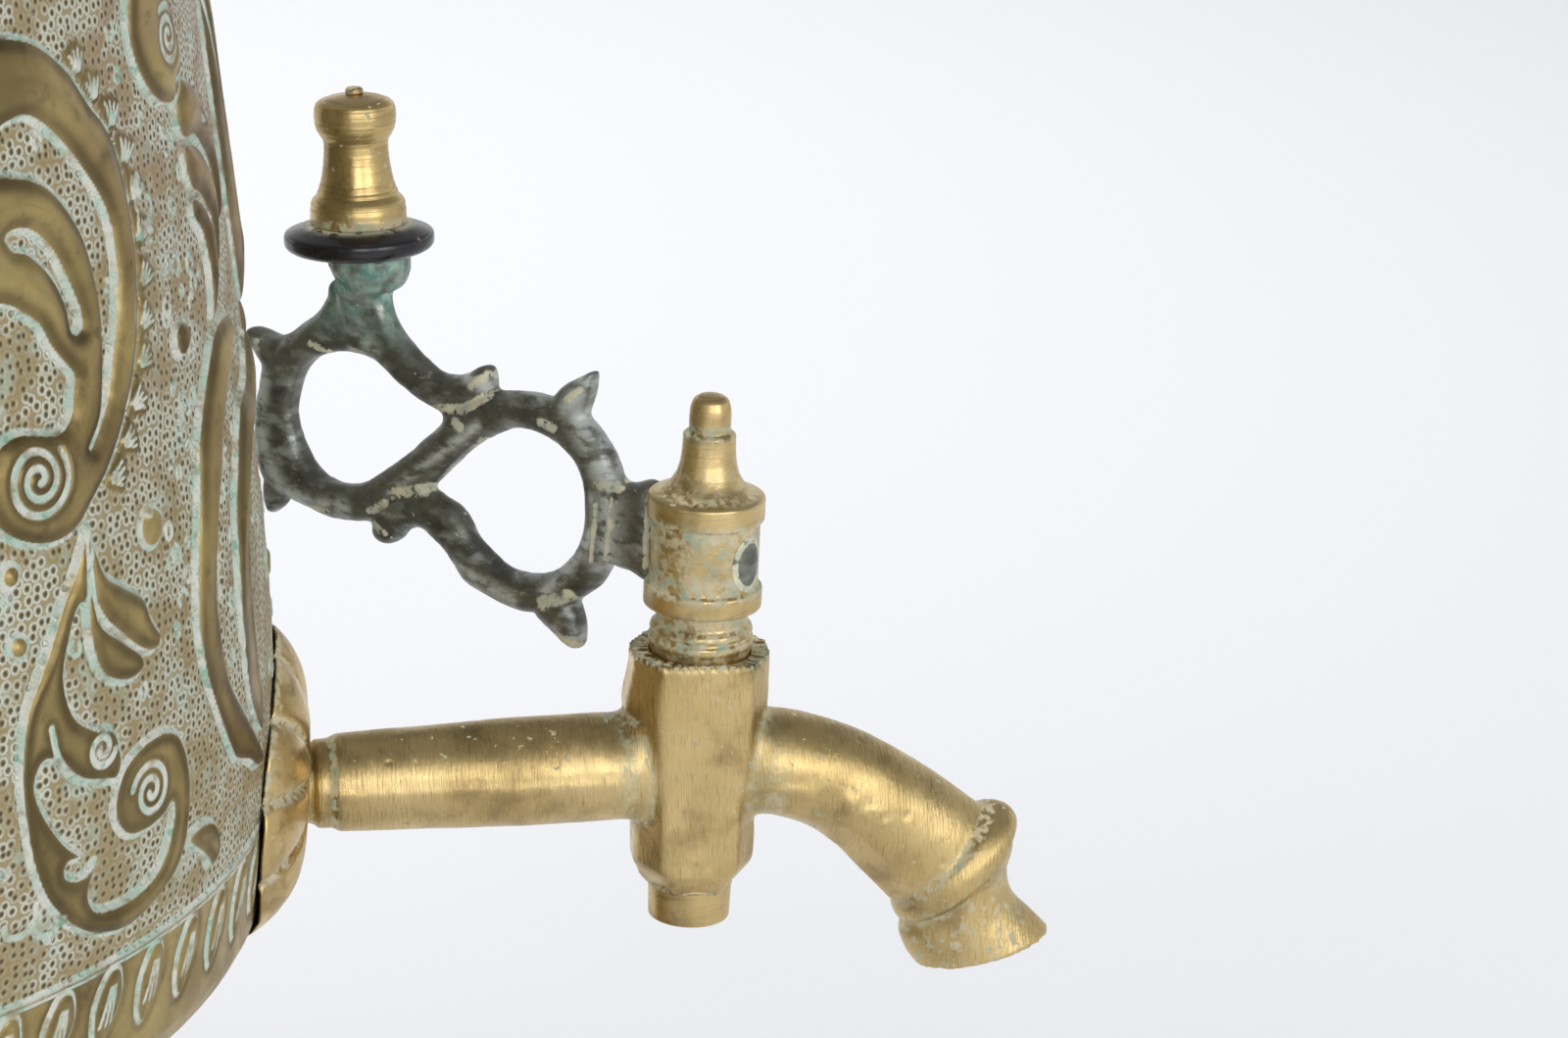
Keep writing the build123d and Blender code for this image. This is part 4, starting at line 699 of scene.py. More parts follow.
# ---------------------------------------------------------------- tap casting
# Pipe, plug housing and bent spout are one sand casting in yellow brass, filed bright by hand: flats on
# the housing and under the spout, a seam down each side, pits and pale polish left in every corner.
tap_reach, tap_droop, plug_lean = 157.6, 0.4, 2.4
housing_top = 17.5
casting_grain = 0.34          # of the remeshed casting
seam_bulge = 0.07
housing_flats = [  # which way each filed flat faces, and how far out it lies above and below
    (-90, 7.95, 7.6), (90, 7.95, 7.6), (0, 9.85, 8.9), (180, 9.85, 8.9),
    (-33, 9.75, 8.75), (33, 9.75, 8.75), (-147, 9.75, 8.75), (147, 9.75, 8.75)]
chamfer_turns = (-150, -90, -30, 30, 90, 150)
chamfer_out, chamfer_down, chamfer_seat = 0.80, 0.60, 15.6
spout_stations = [  # on the spout's middle line: out, up, fall in degrees, half height, half width
    (2.0, 0.0, 0.0, 7.8, 7.8), (10.5, -0.5, 5.0, 7.8, 7.8), (18.3, -2.9, 18.0, 7.9, 7.8),
    (25.0, -7.0, 33.0, 8.3, 7.7), (30.6, -11.8, 42.0, 9.0, 7.6), (34.6, -15.6, 43.0, 9.5, 7.5),
    (35.9, -16.7, 44.0, 9.7, 7.6), (37.0, -17.2, 45.0, 10.9, 8.4), (38.4, -18.3, 46.5, 11.6, 8.9),
    (39.3, -19.6, 50.0, 11.2, 8.5), (39.0, -21.2, 55.0, 10.0, 7.5), (38.4, -23.4, 63.0, 8.9, 6.7),
    (38.9, -26.4, 71.0, 8.9, 6.6), (41.0, -29.4, 76.0, 9.8, 6.8), (43.0, -31.9, 78.0, 10.2, 7.0)]
seam_blobs = [  # left where metal ran into the mould's joint: place, size and height
    ((12.5, -2.4), (3.6, 1.0), 0.34), ((15.2, -3.6), (2.0, 1.3), 0.42), ((21.6, -5.0), (1.6, 1.7), 0.40),
    ((24.2, -6.6), (2.4, 1.2), 0.36), ((26.4, -8.4), (1.3, 0.9), 0.30)]
filed_stations = 58           # of the smoothed ones, how many the flats run along
sand_pits = 60


def tap_frame():
    """The tap's own frame: x out along the pipe, y towards the right-hand grip, z up; in millimetres."""
    droop = radians(tap_droop)
    x, z = Vector((0, -cos(droop), -sin(droop))), Vector((0, -sin(droop), cos(droop)))
    turn = Matrix((x, z.cross(x), z)).transposed().to_4x4()
    return Matrix.Translation((0, -tap_reach, tap_level)) @ turn


def plug_frame():
    """The plug's frame, which leans out a little over the spout."""
    return tap_frame() @ Matrix.Rotation(radians(plug_lean), 4, "Y")


def moved(points, place):
    """Points carried by a 4x4 place."""
    whole = np.array(place)
    return np.asarray(points) @ whole[:3, :3].T + whole[:3, 3]


def remesh(item, grain):
    """Wrap an object in one closed skin of small even faces."""
    wrap = item.modifiers.new("remesh", "REMESH")
    wrap.mode, wrap.voxel_size = "VOXEL", grain * mm
    graph = bpy.context.evaluated_depsgraph_get()
    mesh = bpy.data.meshes.new_from_object(item.evaluated_get(graph))
    item.modifiers.clear()
    item.data = mesh


def link_mesh(name, points, faces):
    """An object from points in millimetres and faces."""
    mesh = bpy.data.meshes.new(name)
    mesh.from_pydata(np.asarray(points) * mm, [], faces)
    mesh.update()
    mesh.shade_smooth()
    made = bpy.data.objects.new(name, mesh)
    bpy.context.scene.collection.objects.link(made)
    return made


def joined_parts(name, *items):
    """One object that holds the meshes of several; the others are removed."""
    points, faces, first = [], [], 0
    for item in items:
        mesh = item.data
        points += [tuple(v.co) for v in mesh.vertices]
        faces += [[first + i for i in polygon.vertices] for polygon in mesh.polygons]
        first = len(points)
        if "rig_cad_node" not in item:
            bpy.data.objects.remove(item)
    mesh = bpy.data.meshes.new(name)
    mesh.from_pydata(points, [], faces)
    made = bpy.data.objects.new(name, mesh)
    bpy.context.scene.collection.objects.link(made)
    return made


def places(mesh):
    """A mesh's points as an array, in millimetres."""
    flat = np.empty(len(mesh.vertices) * 3, np.float32)
    mesh.vertices.foreach_get("co", flat)
    return flat.reshape(-1, 3).astype(float) / mm


def put_places(mesh, points):
    """Move a mesh's points to places in millimetres."""
    mesh.vertices.foreach_set("co", (points * mm).astype(np.float32).ravel())
    mesh.update()


def outward(mesh):
    """The way that each point of a mesh faces."""
    flat = np.empty(len(mesh.vertices) * 3, np.float32)
    mesh.vertices.foreach_get("normal", flat)
    return flat.reshape(-1, 3).astype(float)


class Skin:
    """Neighbours in a mesh, for smoothing points and numbers over it."""

    def __init__(self, mesh):
        ends = np.empty(len(mesh.edges) * 2, np.int32)
        mesh.edges.foreach_get("vertices", ends)
        self.a, self.b = ends.reshape(-1, 2).T
        self.count = len(mesh.vertices)
        self.near = np.maximum(np.bincount(self.a, minlength=self.count)
                               + np.bincount(self.b, minlength=self.count), 1)

    def mean(self, values):
        """Each point's neighbours' mean."""
        if values.ndim == 1:
            total = (np.bincount(self.a, values[self.b], self.count)
                     + np.bincount(self.b, values[self.a], self.count))
            return total / self.near
        return np.stack([self.mean(values[:, i]) for i in range(values.shape[1])], -1)

    def smooth(self, values, share, rounds):
        """Move values towards their neighbours' mean by a share, which may differ from point to point."""
        for _ in range(rounds):
            far = self.mean(values) - values
            values = values + (share if np.isscalar(share) or values.ndim == 1 else share[:, None]) * far
        return values

    def hollow(self, points, normals, rounds=6):
        """How hollow the surface is at each point: above 0 in corners, under 0 on edges."""
        bend = ((self.mean(points) - points) * normals).sum(1)
        return self.smooth(bend, 0.6, rounds)


def ripple(points, size, draw, count=14):
    """Gentle random waves through space, about size millimetres long, between -1 and 1."""
    total = np.zeros(len(points))
    for _ in range(count):
        way = draw.normal(size=3)
        way *= 2 * pi / size / np.linalg.norm(way) * draw.uniform(0.6, 1.5)
        total += np.sin(points @ way + draw.uniform(0, 2 * pi))
    return total / count ** 0.5


founder = np.random.default_rng(5)
plug_turn = Matrix.Rotation(radians(plug_lean), 4, "Y")
casting = joined_parts("tap_casting", nodes["tap_body"])
remesh(casting, casting_grain)
skin = Skin(casting.data)
points = moved(places(casting.data), tap_frame().inverted())
x, y, z = points.T
leaning = moved(points, plug_turn.inverted())
from_plug = np.hypot(leaning[:, 0], leaning[:, 1])
corner = bell(np.hypot(y, z) - 8.2, 2.6) * bell(np.abs(x) - 9.8, 2.8)  # where the pipe meets the housing
points = skin.smooth(points, 0.02 + 0.10 * (x < 12) + 0.80 * corner, 26)

# Filed flats: in front of and behind the housing, and their slanting neighbours.
leaning = moved(points, plug_turn.inverted())
u, v, w = leaning.T
far = np.hypot(u, v)
turn = np.degrees(np.arctan2(v, u))
upper = ramp(w, -4, 4)
across = np.full(len(u), 99.0)  # further out than the housing
for facing, high, low in housing_flats:
    aside = np.cos(np.radians(turn - facing))
    flat = low + (high - low) * upper
    across = np.where(aside > 0.3, np.minimum(across, flat / np.maximum(aside, 0.3)), across)
share = (far < 12.0) * ramp(far, 7.7, 8.5) * ramp(w, -16.5, -15.0)
beside_pipe = np.abs(w) < 8.5
share = share * np.where(beside_pipe, ramp(np.abs(np.abs(turn) - 90), 62, 40), 1.0)
u, v = u * (1 + share * (across / far - 1)), v * (1 + share * (across / far - 1))
for facing in np.radians(chamfer_turns):  # chamfers under the housing
    nu, nv = cos(facing) * chamfer_out, sin(facing) * chamfer_out
    slant = u * nu + v * nv - w * chamfer_down
    push = np.clip(slant - chamfer_seat, 0, 1.4) * (w < -9) * (np.hypot(u, v) > 6.2) * (np.hypot(u, v) < 10.5)
    u, v, w = u - push * nu, v - push * nv, w + push * chamfer_down
# The housing bulges towards the tank near its upper end.
u = u - bell(w - 9.0, 4.5) * ramp(-u, 6, 9) * (np.hypot(u, v) < 12.5) * (u > -12.5)
points = moved(np.stack([u, v, w], -1), plug_turn)
points = skin.smooth(points, 0.5 * (np.abs(points[:, 0]) < 12.5) * (np.abs(points[:, 2]) < 16.4), 24)
x, y, z = points.T

# The spout swells smoothly from station to station.
sx, sz, fall, tall, wide = smooth_line(spout_stations, False, 9).T
fall = np.radians(fall)
on_spout = np.nonzero((x > 9.0) & (from_plug > 9.0))[0]
px, py, pz = points[on_spout].T
past = (px[:, None] - sx) * np.cos(fall) - (pz[:, None] - sz) * np.sin(fall)
off_line = np.hypot(px[:, None] - sx, pz[:, None] - sz)
nearest = np.argmin(np.abs(past) + 0.04 * off_line, axis=1)
short_of_lip, on_flats = nearest < len(sx) - 1, nearest < filed_stations
sx, sz, fall, tall, wide = (station[nearest] for station in (sx, sz, fall, tall, wide))
rise = (px - sx) * np.sin(fall) + (pz - sz) * np.cos(fall)
fullness = np.hypot(rise / tall, py / wide)
share = ramp(px, 12.5, 17.5) * ramp(fullness, 0.84, 0.90) * short_of_lip
scale = 1 + share * (1 / np.maximum(fullness, 0.5) - 1)
new_rise, new_side = rise * scale, py * scale
for side in (-1, 1):  # a flat filed under it, in front and behind
    down, out = -0.74, side * 0.67
    depth = new_rise * down + new_side * out - (np.hypot(tall * down, wide * out) - 0.55)
    push = np.clip(depth, 0, 0.6) * ramp(px, 15, 21) * on_flats
    new_rise, new_side = new_rise - push * down, new_side - push * out
points[on_spout, 0] += (new_rise - rise) * np.sin(fall)
points[on_spout, 2] += (new_rise - rise) * np.cos(fall)
points[on_spout, 1] = new_side
points = skin.smooth(points, 0.35 * ramp(points[:, 0], 12, 16), 2)
put_places(casting.data, moved(points, tap_frame()))

# What the mould and the file left: the seam and its blobs, ripples, a toothed upper rim, and pits.
x, y, z = points.T
normals = outward(casting.data) @ np.array(tap_frame().to_3x3())
on_pipe = ramp(-x, 10.5, 12.5) * ramp(x, -54, -52.5)
seam_line = np.where(x < 0, 0.25 - 0.012 * (x + 30), 0.0)
lift = seam_bulge * bell(z - seam_line, 0.8) * on_pipe * np.clip(np.abs(normals[:, 1]) * 1.5, 0, 1)
lift -= 0.04 * bell(z - seam_line - 1.2, 0.7) * on_pipe
for place, extent, high in seam_blobs:
    blob = bell(np.hypot((x - place[0]) / extent[0], (z - place[1]) / extent[1]), 0.9)
    lift += high * blob * (np.hypot(x, y) > 6) * np.clip(-normals[:, 1] * 2, 0, 1)
lift += 0.030 * ripple(points, 9.0, founder) + 0.010 * ripple(points, 2.6, founder)
rim_teeth = ramp(leaning[:, 2], housing_top - 1.0, housing_top - 0.4) * (from_plug > 7.6)
angle = np.arctan2(y, x)
tooth = np.sin(angle * 40 + 2 * np.sin(angle * 7))
lift -= 0.30 * rim_teeth * (0.5 + 0.5 * tooth)
for _ in range(sand_pits):
    pick = int(founder.integers(len(points)))
    far = np.linalg.norm(points - points[pick], axis=1)
    lift -= founder.uniform(0.10, 0.26) * bell(far, founder.uniform(0.25, 0.55))
outside_only = (np.hypot(y, z) > 4.4) | (x > 6)
points = points + normals * (lift * outside_only)[:, None]
put_places(casting.data, moved(points, tap_frame()))
normals = outward(casting.data) @ np.array(tap_frame().to_3x3())
# Polish stays where the pipe meets the rosette and the housing, on the rim, and round the spout's mouth.
pipe_foot = bell(x + 52.3, 0.6) * (np.hypot(y, z) > 5.8)
pipe_corner = bell(np.hypot(y, z) - 8.6, 1.2) * bell(np.abs(x) - 10.2, 2.0)
ring_crease = bell((x - 36.6) * 0.70 - (z + 16.6) * 0.71, 0.55) * (x > 26)
nozzle = ramp((x - 36) * 0.45 - (z + 20.0) * 0.9, 0, 3) * (x > 26) * (ripple(points, 2.2, founder) > 0.25)
chalked = (0.9 * pipe_foot + 0.8 * pipe_corner + 0.85 * ring_crease + 0.62 * nozzle
           + rim_teeth * (tooth < 0.4))
set_mask(casting.data, "hollow", np.clip(skin.hollow(points, normals, 10) / 0.016, 0, 1))
set_mask(casting.data, "chalked", np.clip(chalked, 0, 1))
# painted shade in the sunk places between the rim's teeth
set_mask(casting.data, "shaded", rim_teeth * (tooth > 0.45) * 0.8)
casting.data.shade_smooth()

yellow_brass = ((0.54, 0.40, 0.175), (0.27, 0.190, 0.082), (0.66, 0.50, 0.24))  # body, tarnish, bright
# the last of these is the dark colour of painted shade
cream, dull_green, painted_shade_dark = (0.60, 0.56, 0.39), (0.30, 0.42, 0.31), (0.035, 0.027, 0.016)


def worn_brass(name, grain, mark_depth, chalk_masks=(), tones=yellow_brass, greenish=dull_green,
               caked_levels=()):
    """Handled brass: brown tarnish in soft patches, file or lathe marks, pale polish where it gathers,
    and painted shade where a piece keeps a shaded mask.

    grain stretches the marks along x, y and z. Polish gathers by masks, each with a strength, and at
    levels above the floor."""
    made = Finish(name)
    body, tarnish, bright = tones
    colour = made.mix(made.patches(0.055, 5, 0.34, 0.68), body, bright)
    colour = made.mix(made.patches(0.12, 6, 0.46, 0.74, 0.0, 0.8), colour, tarnish)
    stroke = made.noise(1.0, 4, 0.6, made.squeezed(grain))
    colour = made.mix(made.spread(stroke, 0.50, 0.74, 0.0, 0.55), colour, tarnish)
    # painted shade: dark brown where a piece keeps a shaded mask
    colour = made.mix(made.times(made.mask("shaded"), 0.9), colour, painted_shade_dark)
    gathered = [made.times(made.mask(mask), share) for mask, share in chalk_masks]
    rise = made.add("ShaderNodeSeparateXYZ", Vector=made.here).outputs["Z"]
    for caked_level in caked_levels:
        off = made.sums("ABSOLUTE", made.sums("SUBTRACT", rise, caked_level * mm))
        gathered.append(made.spread(off, 0.2 * mm, 1.5 * mm, 0.9, 0.0))
    chalk_share = made.sums("MULTIPLY", made.most(*gathered), made.patches(0.75, 5, 0.36, 0.60), clamp=True)
    flecks = made.times(made.patches(0.8, 3, 0.645, 0.69), made.patches(0.09, 2, 0.42, 0.62))
    chalk_share = made.most(chalk_share, flecks)
    chalk = made.mix(made.patches(0.3, 4, 0.42, 0.66), cream, greenish)
    made.surface(made.mix(chalk_share, colour, chalk),
                 made.most(made.patches(0.2, 5, 0.3, 0.7, 0.24, 0.42), made.times(chalk_share, 0.8)),
                 made.spread(chalk_share, 0.1, 0.6, 0.95, 0.0))
    made.raise_by((stroke, mark_depth), (made.noise(1.3, 4), 0.035),
                  (made.times(chalk_share, made.noise(2.4, 3)), 0.10))
    return made.material


casting.data.materials.append(worn_brass("filed_brass", (0.25, 3.4, 0.35), 0.11,
                                         (("hollow", 1.0), ("chalked", 0.95))))
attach(casting, "samovar_body")
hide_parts("tap_body")

# ---------------------------------------------------------------- rosette behind the tap
# A thin brass flower, stamped from sheet with twelve plump petals. It hides the hole in the tank, and
# cream polish fills the grooves between its petals.
rosette_back, rosette_tilt, rosette_radius, rosette_wall = 61.26, 5.2, 23.7, 1.2
rosette_rise, rosette_rim = 4.9, 0.3
petals, petal_start, petal_twist, petal_half_width = 12, 15.0, 14.0, 6.2
petal_fullness = 0.42         # the lower, the rounder the petals
petal_dip = 0.42              # how far the dome falls between two petals, as a share of its height
rim_gap, rim_sprung = 0.02, 0.62
rosette_radii = np.concatenate([np.linspace(5.7, 22.0, 44), np.linspace(22.3, 23.9, 7)])
rosette_turns = np.arange(0, 360, 1.0)
radii, angles = np.meshgrid(rosette_radii / rosette_radii[-1], rosette_turns, indexing="ij")
petal = np.mod((angles - petal_start - petal_twist * (radii - 1)) / (360 / petals) + 0.5, 1.0)
groove = np.abs(petal - 0.5) * 2  # 0 in the groove, 1 on the petal's ridge
hollowed = 1 - np.sin(groove * pi / 2) ** petal_fullness
spread_out = ramp(radii, 0.30, 0.60)
rise = (rosette_rim + rosette_rise * (1 - radii ** 5)) * (1 - petal_dip * spread_out * hollowed)
rise -= 0.35 * bell(groove * radii * petal_half_width, 0.75) * spread_out
reach = radii * rosette_radius * (1 - 0.075 * hollowed * radii ** 4)
top = round_axis(reach, angles, rise)
rosette_place = (tap_frame() @ Matrix.Translation((-rosette_back, 0, 0))
                 @ Matrix.Rotation(radians(rosette_tilt + 90), 4, "Y"))
# The rim is dressed down to the tank; below and to one side it has sprung away and leaves a dark gap.
rim = moved(round_axis(reach[-1], rosette_turns, -0.1), rosette_place)
rim_level = rim[:, 2] - moved([(0, 0, 0)], rosette_place)[0, 2]
sprung = ramp(rim_level, -20, -16) * ramp(rim_level, 7, 3) * (rim[:, 0] < 0)
drop = np.hypot(rim[:, 0], rim[:, 1]) - np.interp(rim[:, 2], side_z, side_r) - rim_gap - rim_sprung * sprung
top[..., 2] -= drop * ramp(radii, 0.25, 1.0) ** 2
under = top[::-1].copy()
under[..., 2] -= rosette_wall * np.clip(1 - radii[::-1] ** 14, 0.35, 1)
flower = np.concatenate([top, under]).reshape(-1, 3)
faces = ring_faces(2 * len(rosette_radii) + 1, len(rosette_turns))
faces = np.where(faces >= len(flower), faces - len(flower), faces)
rosette = link_mesh("rosette", moved(flower, rosette_place), faces.tolist())
hidden = np.zeros(radii.shape)  # the under side
groove_line = bell(groove * radii * petal_half_width, 0.72) * spread_out
creamy = 0.35 * bell(radii - 0.27, 0.04) + 0.9 * bell(radii - 1, 0.03) * (rim_level > 5)
# The under side is painted in shade: its shaded mask is 1 throughout.
for name, shown, under_side in (("hollow", groove_line, hidden), ("chalked", creamy, hidden),
                                ("shaded", hidden, hidden + 1)):
    set_mask(rosette.data, name, np.concatenate([shown, under_side]))
rosette.data.materials.append(worn_brass("rosette_brass", (0.5, 0.5, 0.5), 0.03,
                                         (("hollow", 1.7), ("chalked", 1.0)), greenish=(0.50, 0.49, 0.36)))
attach(rosette, "samovar_body")
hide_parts("tap_rosette")

# ---------------------------------------------------------------- tap plug
# The tapered plug is turned from bar: two collars, a recessed barrel that takes the key's tenon, and a
# slim neck with a button. Polish has dried white and green in its grooves.
turn_count = 112
plug_outline = [
    (0, -23.7), (5.9, -23.7), (7.15, 17.0), (7.2, 18.1), (7.55, 18.9), (7.55, 19.6), (7.15, 19.9),
    (7.15, 20.3), (7.4, 20.6), (7.3, 21.2), (6.6, 21.9), (6.55, 23.6), (6.9, 24.2), (8.45, 24.3),
    (8.45, 27.3), (7.8, 27.6), (7.75, 37.1), (8.35, 37.3), (8.35, 40.5), (7.9, 40.8), (6.6, 41.1),
    (5.3, 42.3), (4.45, 43.8), (4.0, 45.6), (3.8, 47.6), (3.75, 49.6), (3.3, 49.85), (2.95, 49.9),
    (2.98, 52.0), (2.9, 53.4), (2.5, 54.6), (1.6, 55.2), (0, 55.3)]
barrel_foot, barrel_top, neck_top = 27.4, 37.2, 49.85


def rounded(outline, size=0.35, steps=4):
    """A lathe outline with its corners eased."""
    eased = [outline[0]]
    for before, corner, after in zip(outline, outline[1:], outline[2:]):
        before, corner, after = (np.array(p, float) for p in (before, corner, after))
        back, on = before - corner, after - corner
        cut = min(size, 0.45 * np.linalg.norm(back), 0.45 * np.linalg.norm(on))
        if cut < 1e-6:
            continue
        first, last = corner + back / np.linalg.norm(back) * cut, corner + on / np.linalg.norm(on) * cut
        for share in np.linspace(0, 1, steps):
            eased.append(tuple((1 - share) ** 2 * first + 2 * share * (1 - share) * corner
                               + share ** 2 * last))
    return eased + [outline[-1]]


def closely(outline, step):
    """The same outline with points no further apart than a step."""
    filled = [outline[0]]
    for (r0, z0), (r1, z1) in zip(outline, outline[1:]):
        count = max(1, int(np.ceil(hypot(r1 - r0, z1 - z0) / step)))
        filled += [(r0 + (r1 - r0) * i / count, z0 + (z1 - z0) * i / count) for i in range(1, count + 1)]
    return np.array(filled)


def turned(name, outline, place, ease, step, wobble=0.0, count=turn_count):
    """A turned piece from a (radius, height) outline, in the place's frame; returns it and its outline."""
    line = closely(rounded(outline, ease), step)
    radii = np.maximum(line[:, :1], 0.02)
    radii = radii + wobble * np.sin(line[:, 1:] * 9.0) * np.sin(line[:, 1:] * 2.3)  # the tool's own lines
    ring = round_axis(radii, np.linspace(0, 360, count, endpoint=False), line[:, 1:])
    faces = ring_faces(len(line), count).tolist()
    faces += [list(range(count))[::-1], [(len(line) - 1) * count + j for j in range(count)]]
    return link_mesh(name, moved(ring.reshape(-1, 3), place), faces), line


def groove_mask(line, wide):
    """Where polish gathers along a turned outline: in its inside corners."""
    before, after = np.roll(line, 1, axis=0), np.roll(line, -1, axis=0)
    first, second = line - before, after - line
    bent = first[:, 0] * second[:, 1] - first[:, 1] * second[:, 0]
    bent[[0, -1]] = 0
    lengths = np.hypot(*first.T) * np.hypot(*second.T) + 1e-9
    sharp = np.clip(-np.arcsin(np.clip(bent / lengths, -1, 1)), 0, 1)
    run, mask = run_along(line), np.zeros(len(line))
    for i in np.nonzero(sharp > 0.05)[0]:
        mask = np.maximum(mask, np.minimum(1, sharp[i] * 3) * bell(run - run[i], wide))
    return mask


plug, line = turned("tap_plug_turned", plug_outline, plug_frame(), 0.32, 0.45)
levels = line[:, 1]
in_grooves = 0.8 * ((levels > 21.2) & (levels < 24.3)) + 0.55 * bell(levels - 20.1, 0.6)
on_barrel = ((levels > barrel_foot) & (levels < barrel_top)) * (
    0.50 + 0.7 * bell(levels - barrel_top + 0.6, 1.3) + 0.8 * bell(levels - barrel_foot - 1.0, 1.4))
chalked = np.clip(in_grooves + on_barrel + 0.8 * bell(levels - neck_top, 0.5), 0, 1)
set_mask(plug.data, "hollow", np.repeat(groove_mask(line, 1.1), turn_count))
set_mask(plug.data, "chalked", np.repeat(chalked, turn_count))
plug.data.materials.append(worn_brass("lathe_brass", (0.12, 0.12, 3.6), 0.03,
                                      (("hollow", 1.1), ("chalked", 0.95))))
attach(plug, "tap_key")
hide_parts("tap_plug")

# ---------------------------------------------------------------- tap key
# The key is a double scroll of round bars, cast in bronze that has gone olive-black, with thorns where
# the bars part. Its ribbed tongue holds a tenon, peened over in an oval on the far side of the plug.
key_angle, key_bar, key_edge, key_cell = 134.0, 2.35, 2.5, 0.2
key_grain = 0.33              # of the remeshed key
knob_reach, knob_seat, knob_lean = 65.4, 62.4, 3.9
barrel_clear, collar_clear = 7.78, 8.48  # how close the bars may come to the plug's axis
tenon_seat, tenon_level, tenon_half_width, tenon_half_height = 7.79, 31.9, 2.4, 3.3
# The sheet that the key is drawn on lies a little aslant: how its marks, in thousands, turn into places.
sheet_out, sheet_up, sheet_slant = (90.23, -49.65, -2.23), (58.44, 13.53, -42.57), (1, 0.0493, -0.0193)
key_lines = {  # the outline of the key and of its two openings, as marks on that sheet
    "outer": [
        (572, 150), (580, 210), (605, 275), (650, 340), (700, 395), (760, 450), (815, 468), (870, 460),
        (920, 437), (955, 430), (976, 455), (990, 520), (1060, 530), (1130, 533), (1200, 545),
        (1250, 502), (1310, 470), (1352, 452), (1364, 462), (1356, 530), (1335, 620), (1380, 685),
        (1420, 750), (1445, 820), (1460, 856), (1500, 872), (1600, 892), (1600, 1236), (1500, 1206),
        (1425, 1186), (1412, 1210), (1380, 1260), (1330, 1300), (1297, 1330), (1312, 1390),
        (1316, 1440), (1305, 1498), (1285, 1500), (1250, 1480), (1190, 1420), (1140, 1368),
        (1080, 1355), (1000, 1320), (920, 1275), (870, 1230), (830, 1170), (790, 1110), (750, 1070),
        (710, 1046), (670, 1050), (640, 1072), (612, 1097), (580, 1105), (550, 1090), (530, 1060),
        (520, 1026), (440, 1018), (370, 1005), (300, 975), (240, 945), (212, 930), (196, 955),
        (170, 980), (140, 988), (126, 950), (120, 900), (114, 850), (102, 800), (90, 720), (88, 640),
        (92, 560), (104, 490), (112, 430), (94, 388), (60, 340), (48, 302), (66, 284), (110, 295),
        (160, 315), (200, 310), (260, 270), (330, 220), (365, 165), (376, 110), (470, 90), (560, 110)],
    "far_hole": [
        (455, 385), (410, 382), (350, 395), (300, 420), (262, 460), (240, 520), (228, 590),
        (232, 650), (250, 720), (285, 790), (330, 845), (390, 872), (450, 878), (510, 865),
        (570, 825), (640, 775), (710, 715), (760, 670), (793, 628), (772, 600), (720, 570),
        (650, 520), (600, 465), (550, 425), (500, 398)],
    "near_hole": [
        (1075, 670), (1020, 680), (960, 710), (900, 750), (840, 805), (790, 855), (758, 888),
        (775, 918), (830, 955), (880, 1020), (920, 1090), (975, 1150), (1040, 1195), (1110, 1215),
        (1180, 1210), (1240, 1180), (1290, 1125), (1315, 1070), (1328, 1000), (1330, 930),
        (1322, 870), (1300, 810), (1260, 760), (1210, 715), (1150, 685)]}
key_folds = [  # where two bars lie against each other, and how deep the crease between them is
    ([(812, 610), (880, 580), (985, 525)], 0.75), ([(610, 925), (680, 915), (755, 895)], 0.9),
    ([(520, 1020), (575, 960), (620, 925)], 0.7), ([(1140, 1365), (1200, 1290), (1290, 1325)], 0.5),
    ([(1200, 550), (1230, 640), (1335, 620)], 0.45), ([(1375, 870), (1385, 1000), (1365, 1170)], 0.6),
    ([(120, 430), (160, 400), (200, 315)], 0.4), ([(120, 850), (165, 880), (212, 930)], 0.5),
    ([(1395, 880), (1405, 1010), (1385, 1180)], 0.5), ([(1450, 905), (1455, 1010), (1435, 1190)], 0.6)]
cream_marks = [  # where polish has caked: a line on the sheet, and how far it reaches from it
    ([(790, 590), (900, 590), (985, 540)], 0.8), ([(640, 905), (755, 895)], 1.0),
    ([(800, 862), (960, 712)], 0.7), ([(330, 345), (380, 378)], 0.7), ([(470, 375), (515, 388)], 0.8),
    ([(1190, 1320), (1290, 1290)], 1.1), ([(1295, 1480), (1250, 1450)], 1.0),
    ([(545, 975), (600, 945)], 0.7), ([(320, 962), (390, 972)], 0.5), ([(1400, 872), (1480, 888)], 0.9),
    ([(1392, 940), (1372, 1160)], 0.4), ([(1452, 930), (1430, 1160)], 0.4),
    ([(1590, 920), (1580, 1180)], 0.5), ([(1190, 640), (1235, 660)], 0.8),
    ([(120, 340), (125, 370)], 0.6), ([(870, 640), (885, 655)], 0.9), ([(560, 1020), (600, 1060)], 0.6),
    ([(930, 500), (975, 470)], 0.8), ([(1285, 560), (1330, 520)], 0.6)]
scuff_and_sheen_marks = [  # where the bars have been rubbed, with a painted blue-grey sheen over them
    ([(150, 480), (135, 600), (150, 760), (210, 880), (330, 950), (450, 960)], 1.6),
    ([(1330, 640), (1390, 760), (1425, 860)], 2.4), ([(1280, 590), (1335, 500)], 1.4),
    ([(880, 1160), (960, 1240), (1080, 1300)], 1.3), ([(1200, 1280), (1300, 1180), (1370, 1060)], 1.3),
    ([(1440, 950), (1430, 1160)], 3.2), ([(620, 900), (780, 780), (950, 650)], 0.9),
    ([(520, 320), (560, 360)], 1.6), ([(1250, 1420), (1300, 1450)], 1.4), ([(900, 470), (960, 500)], 1.4)]
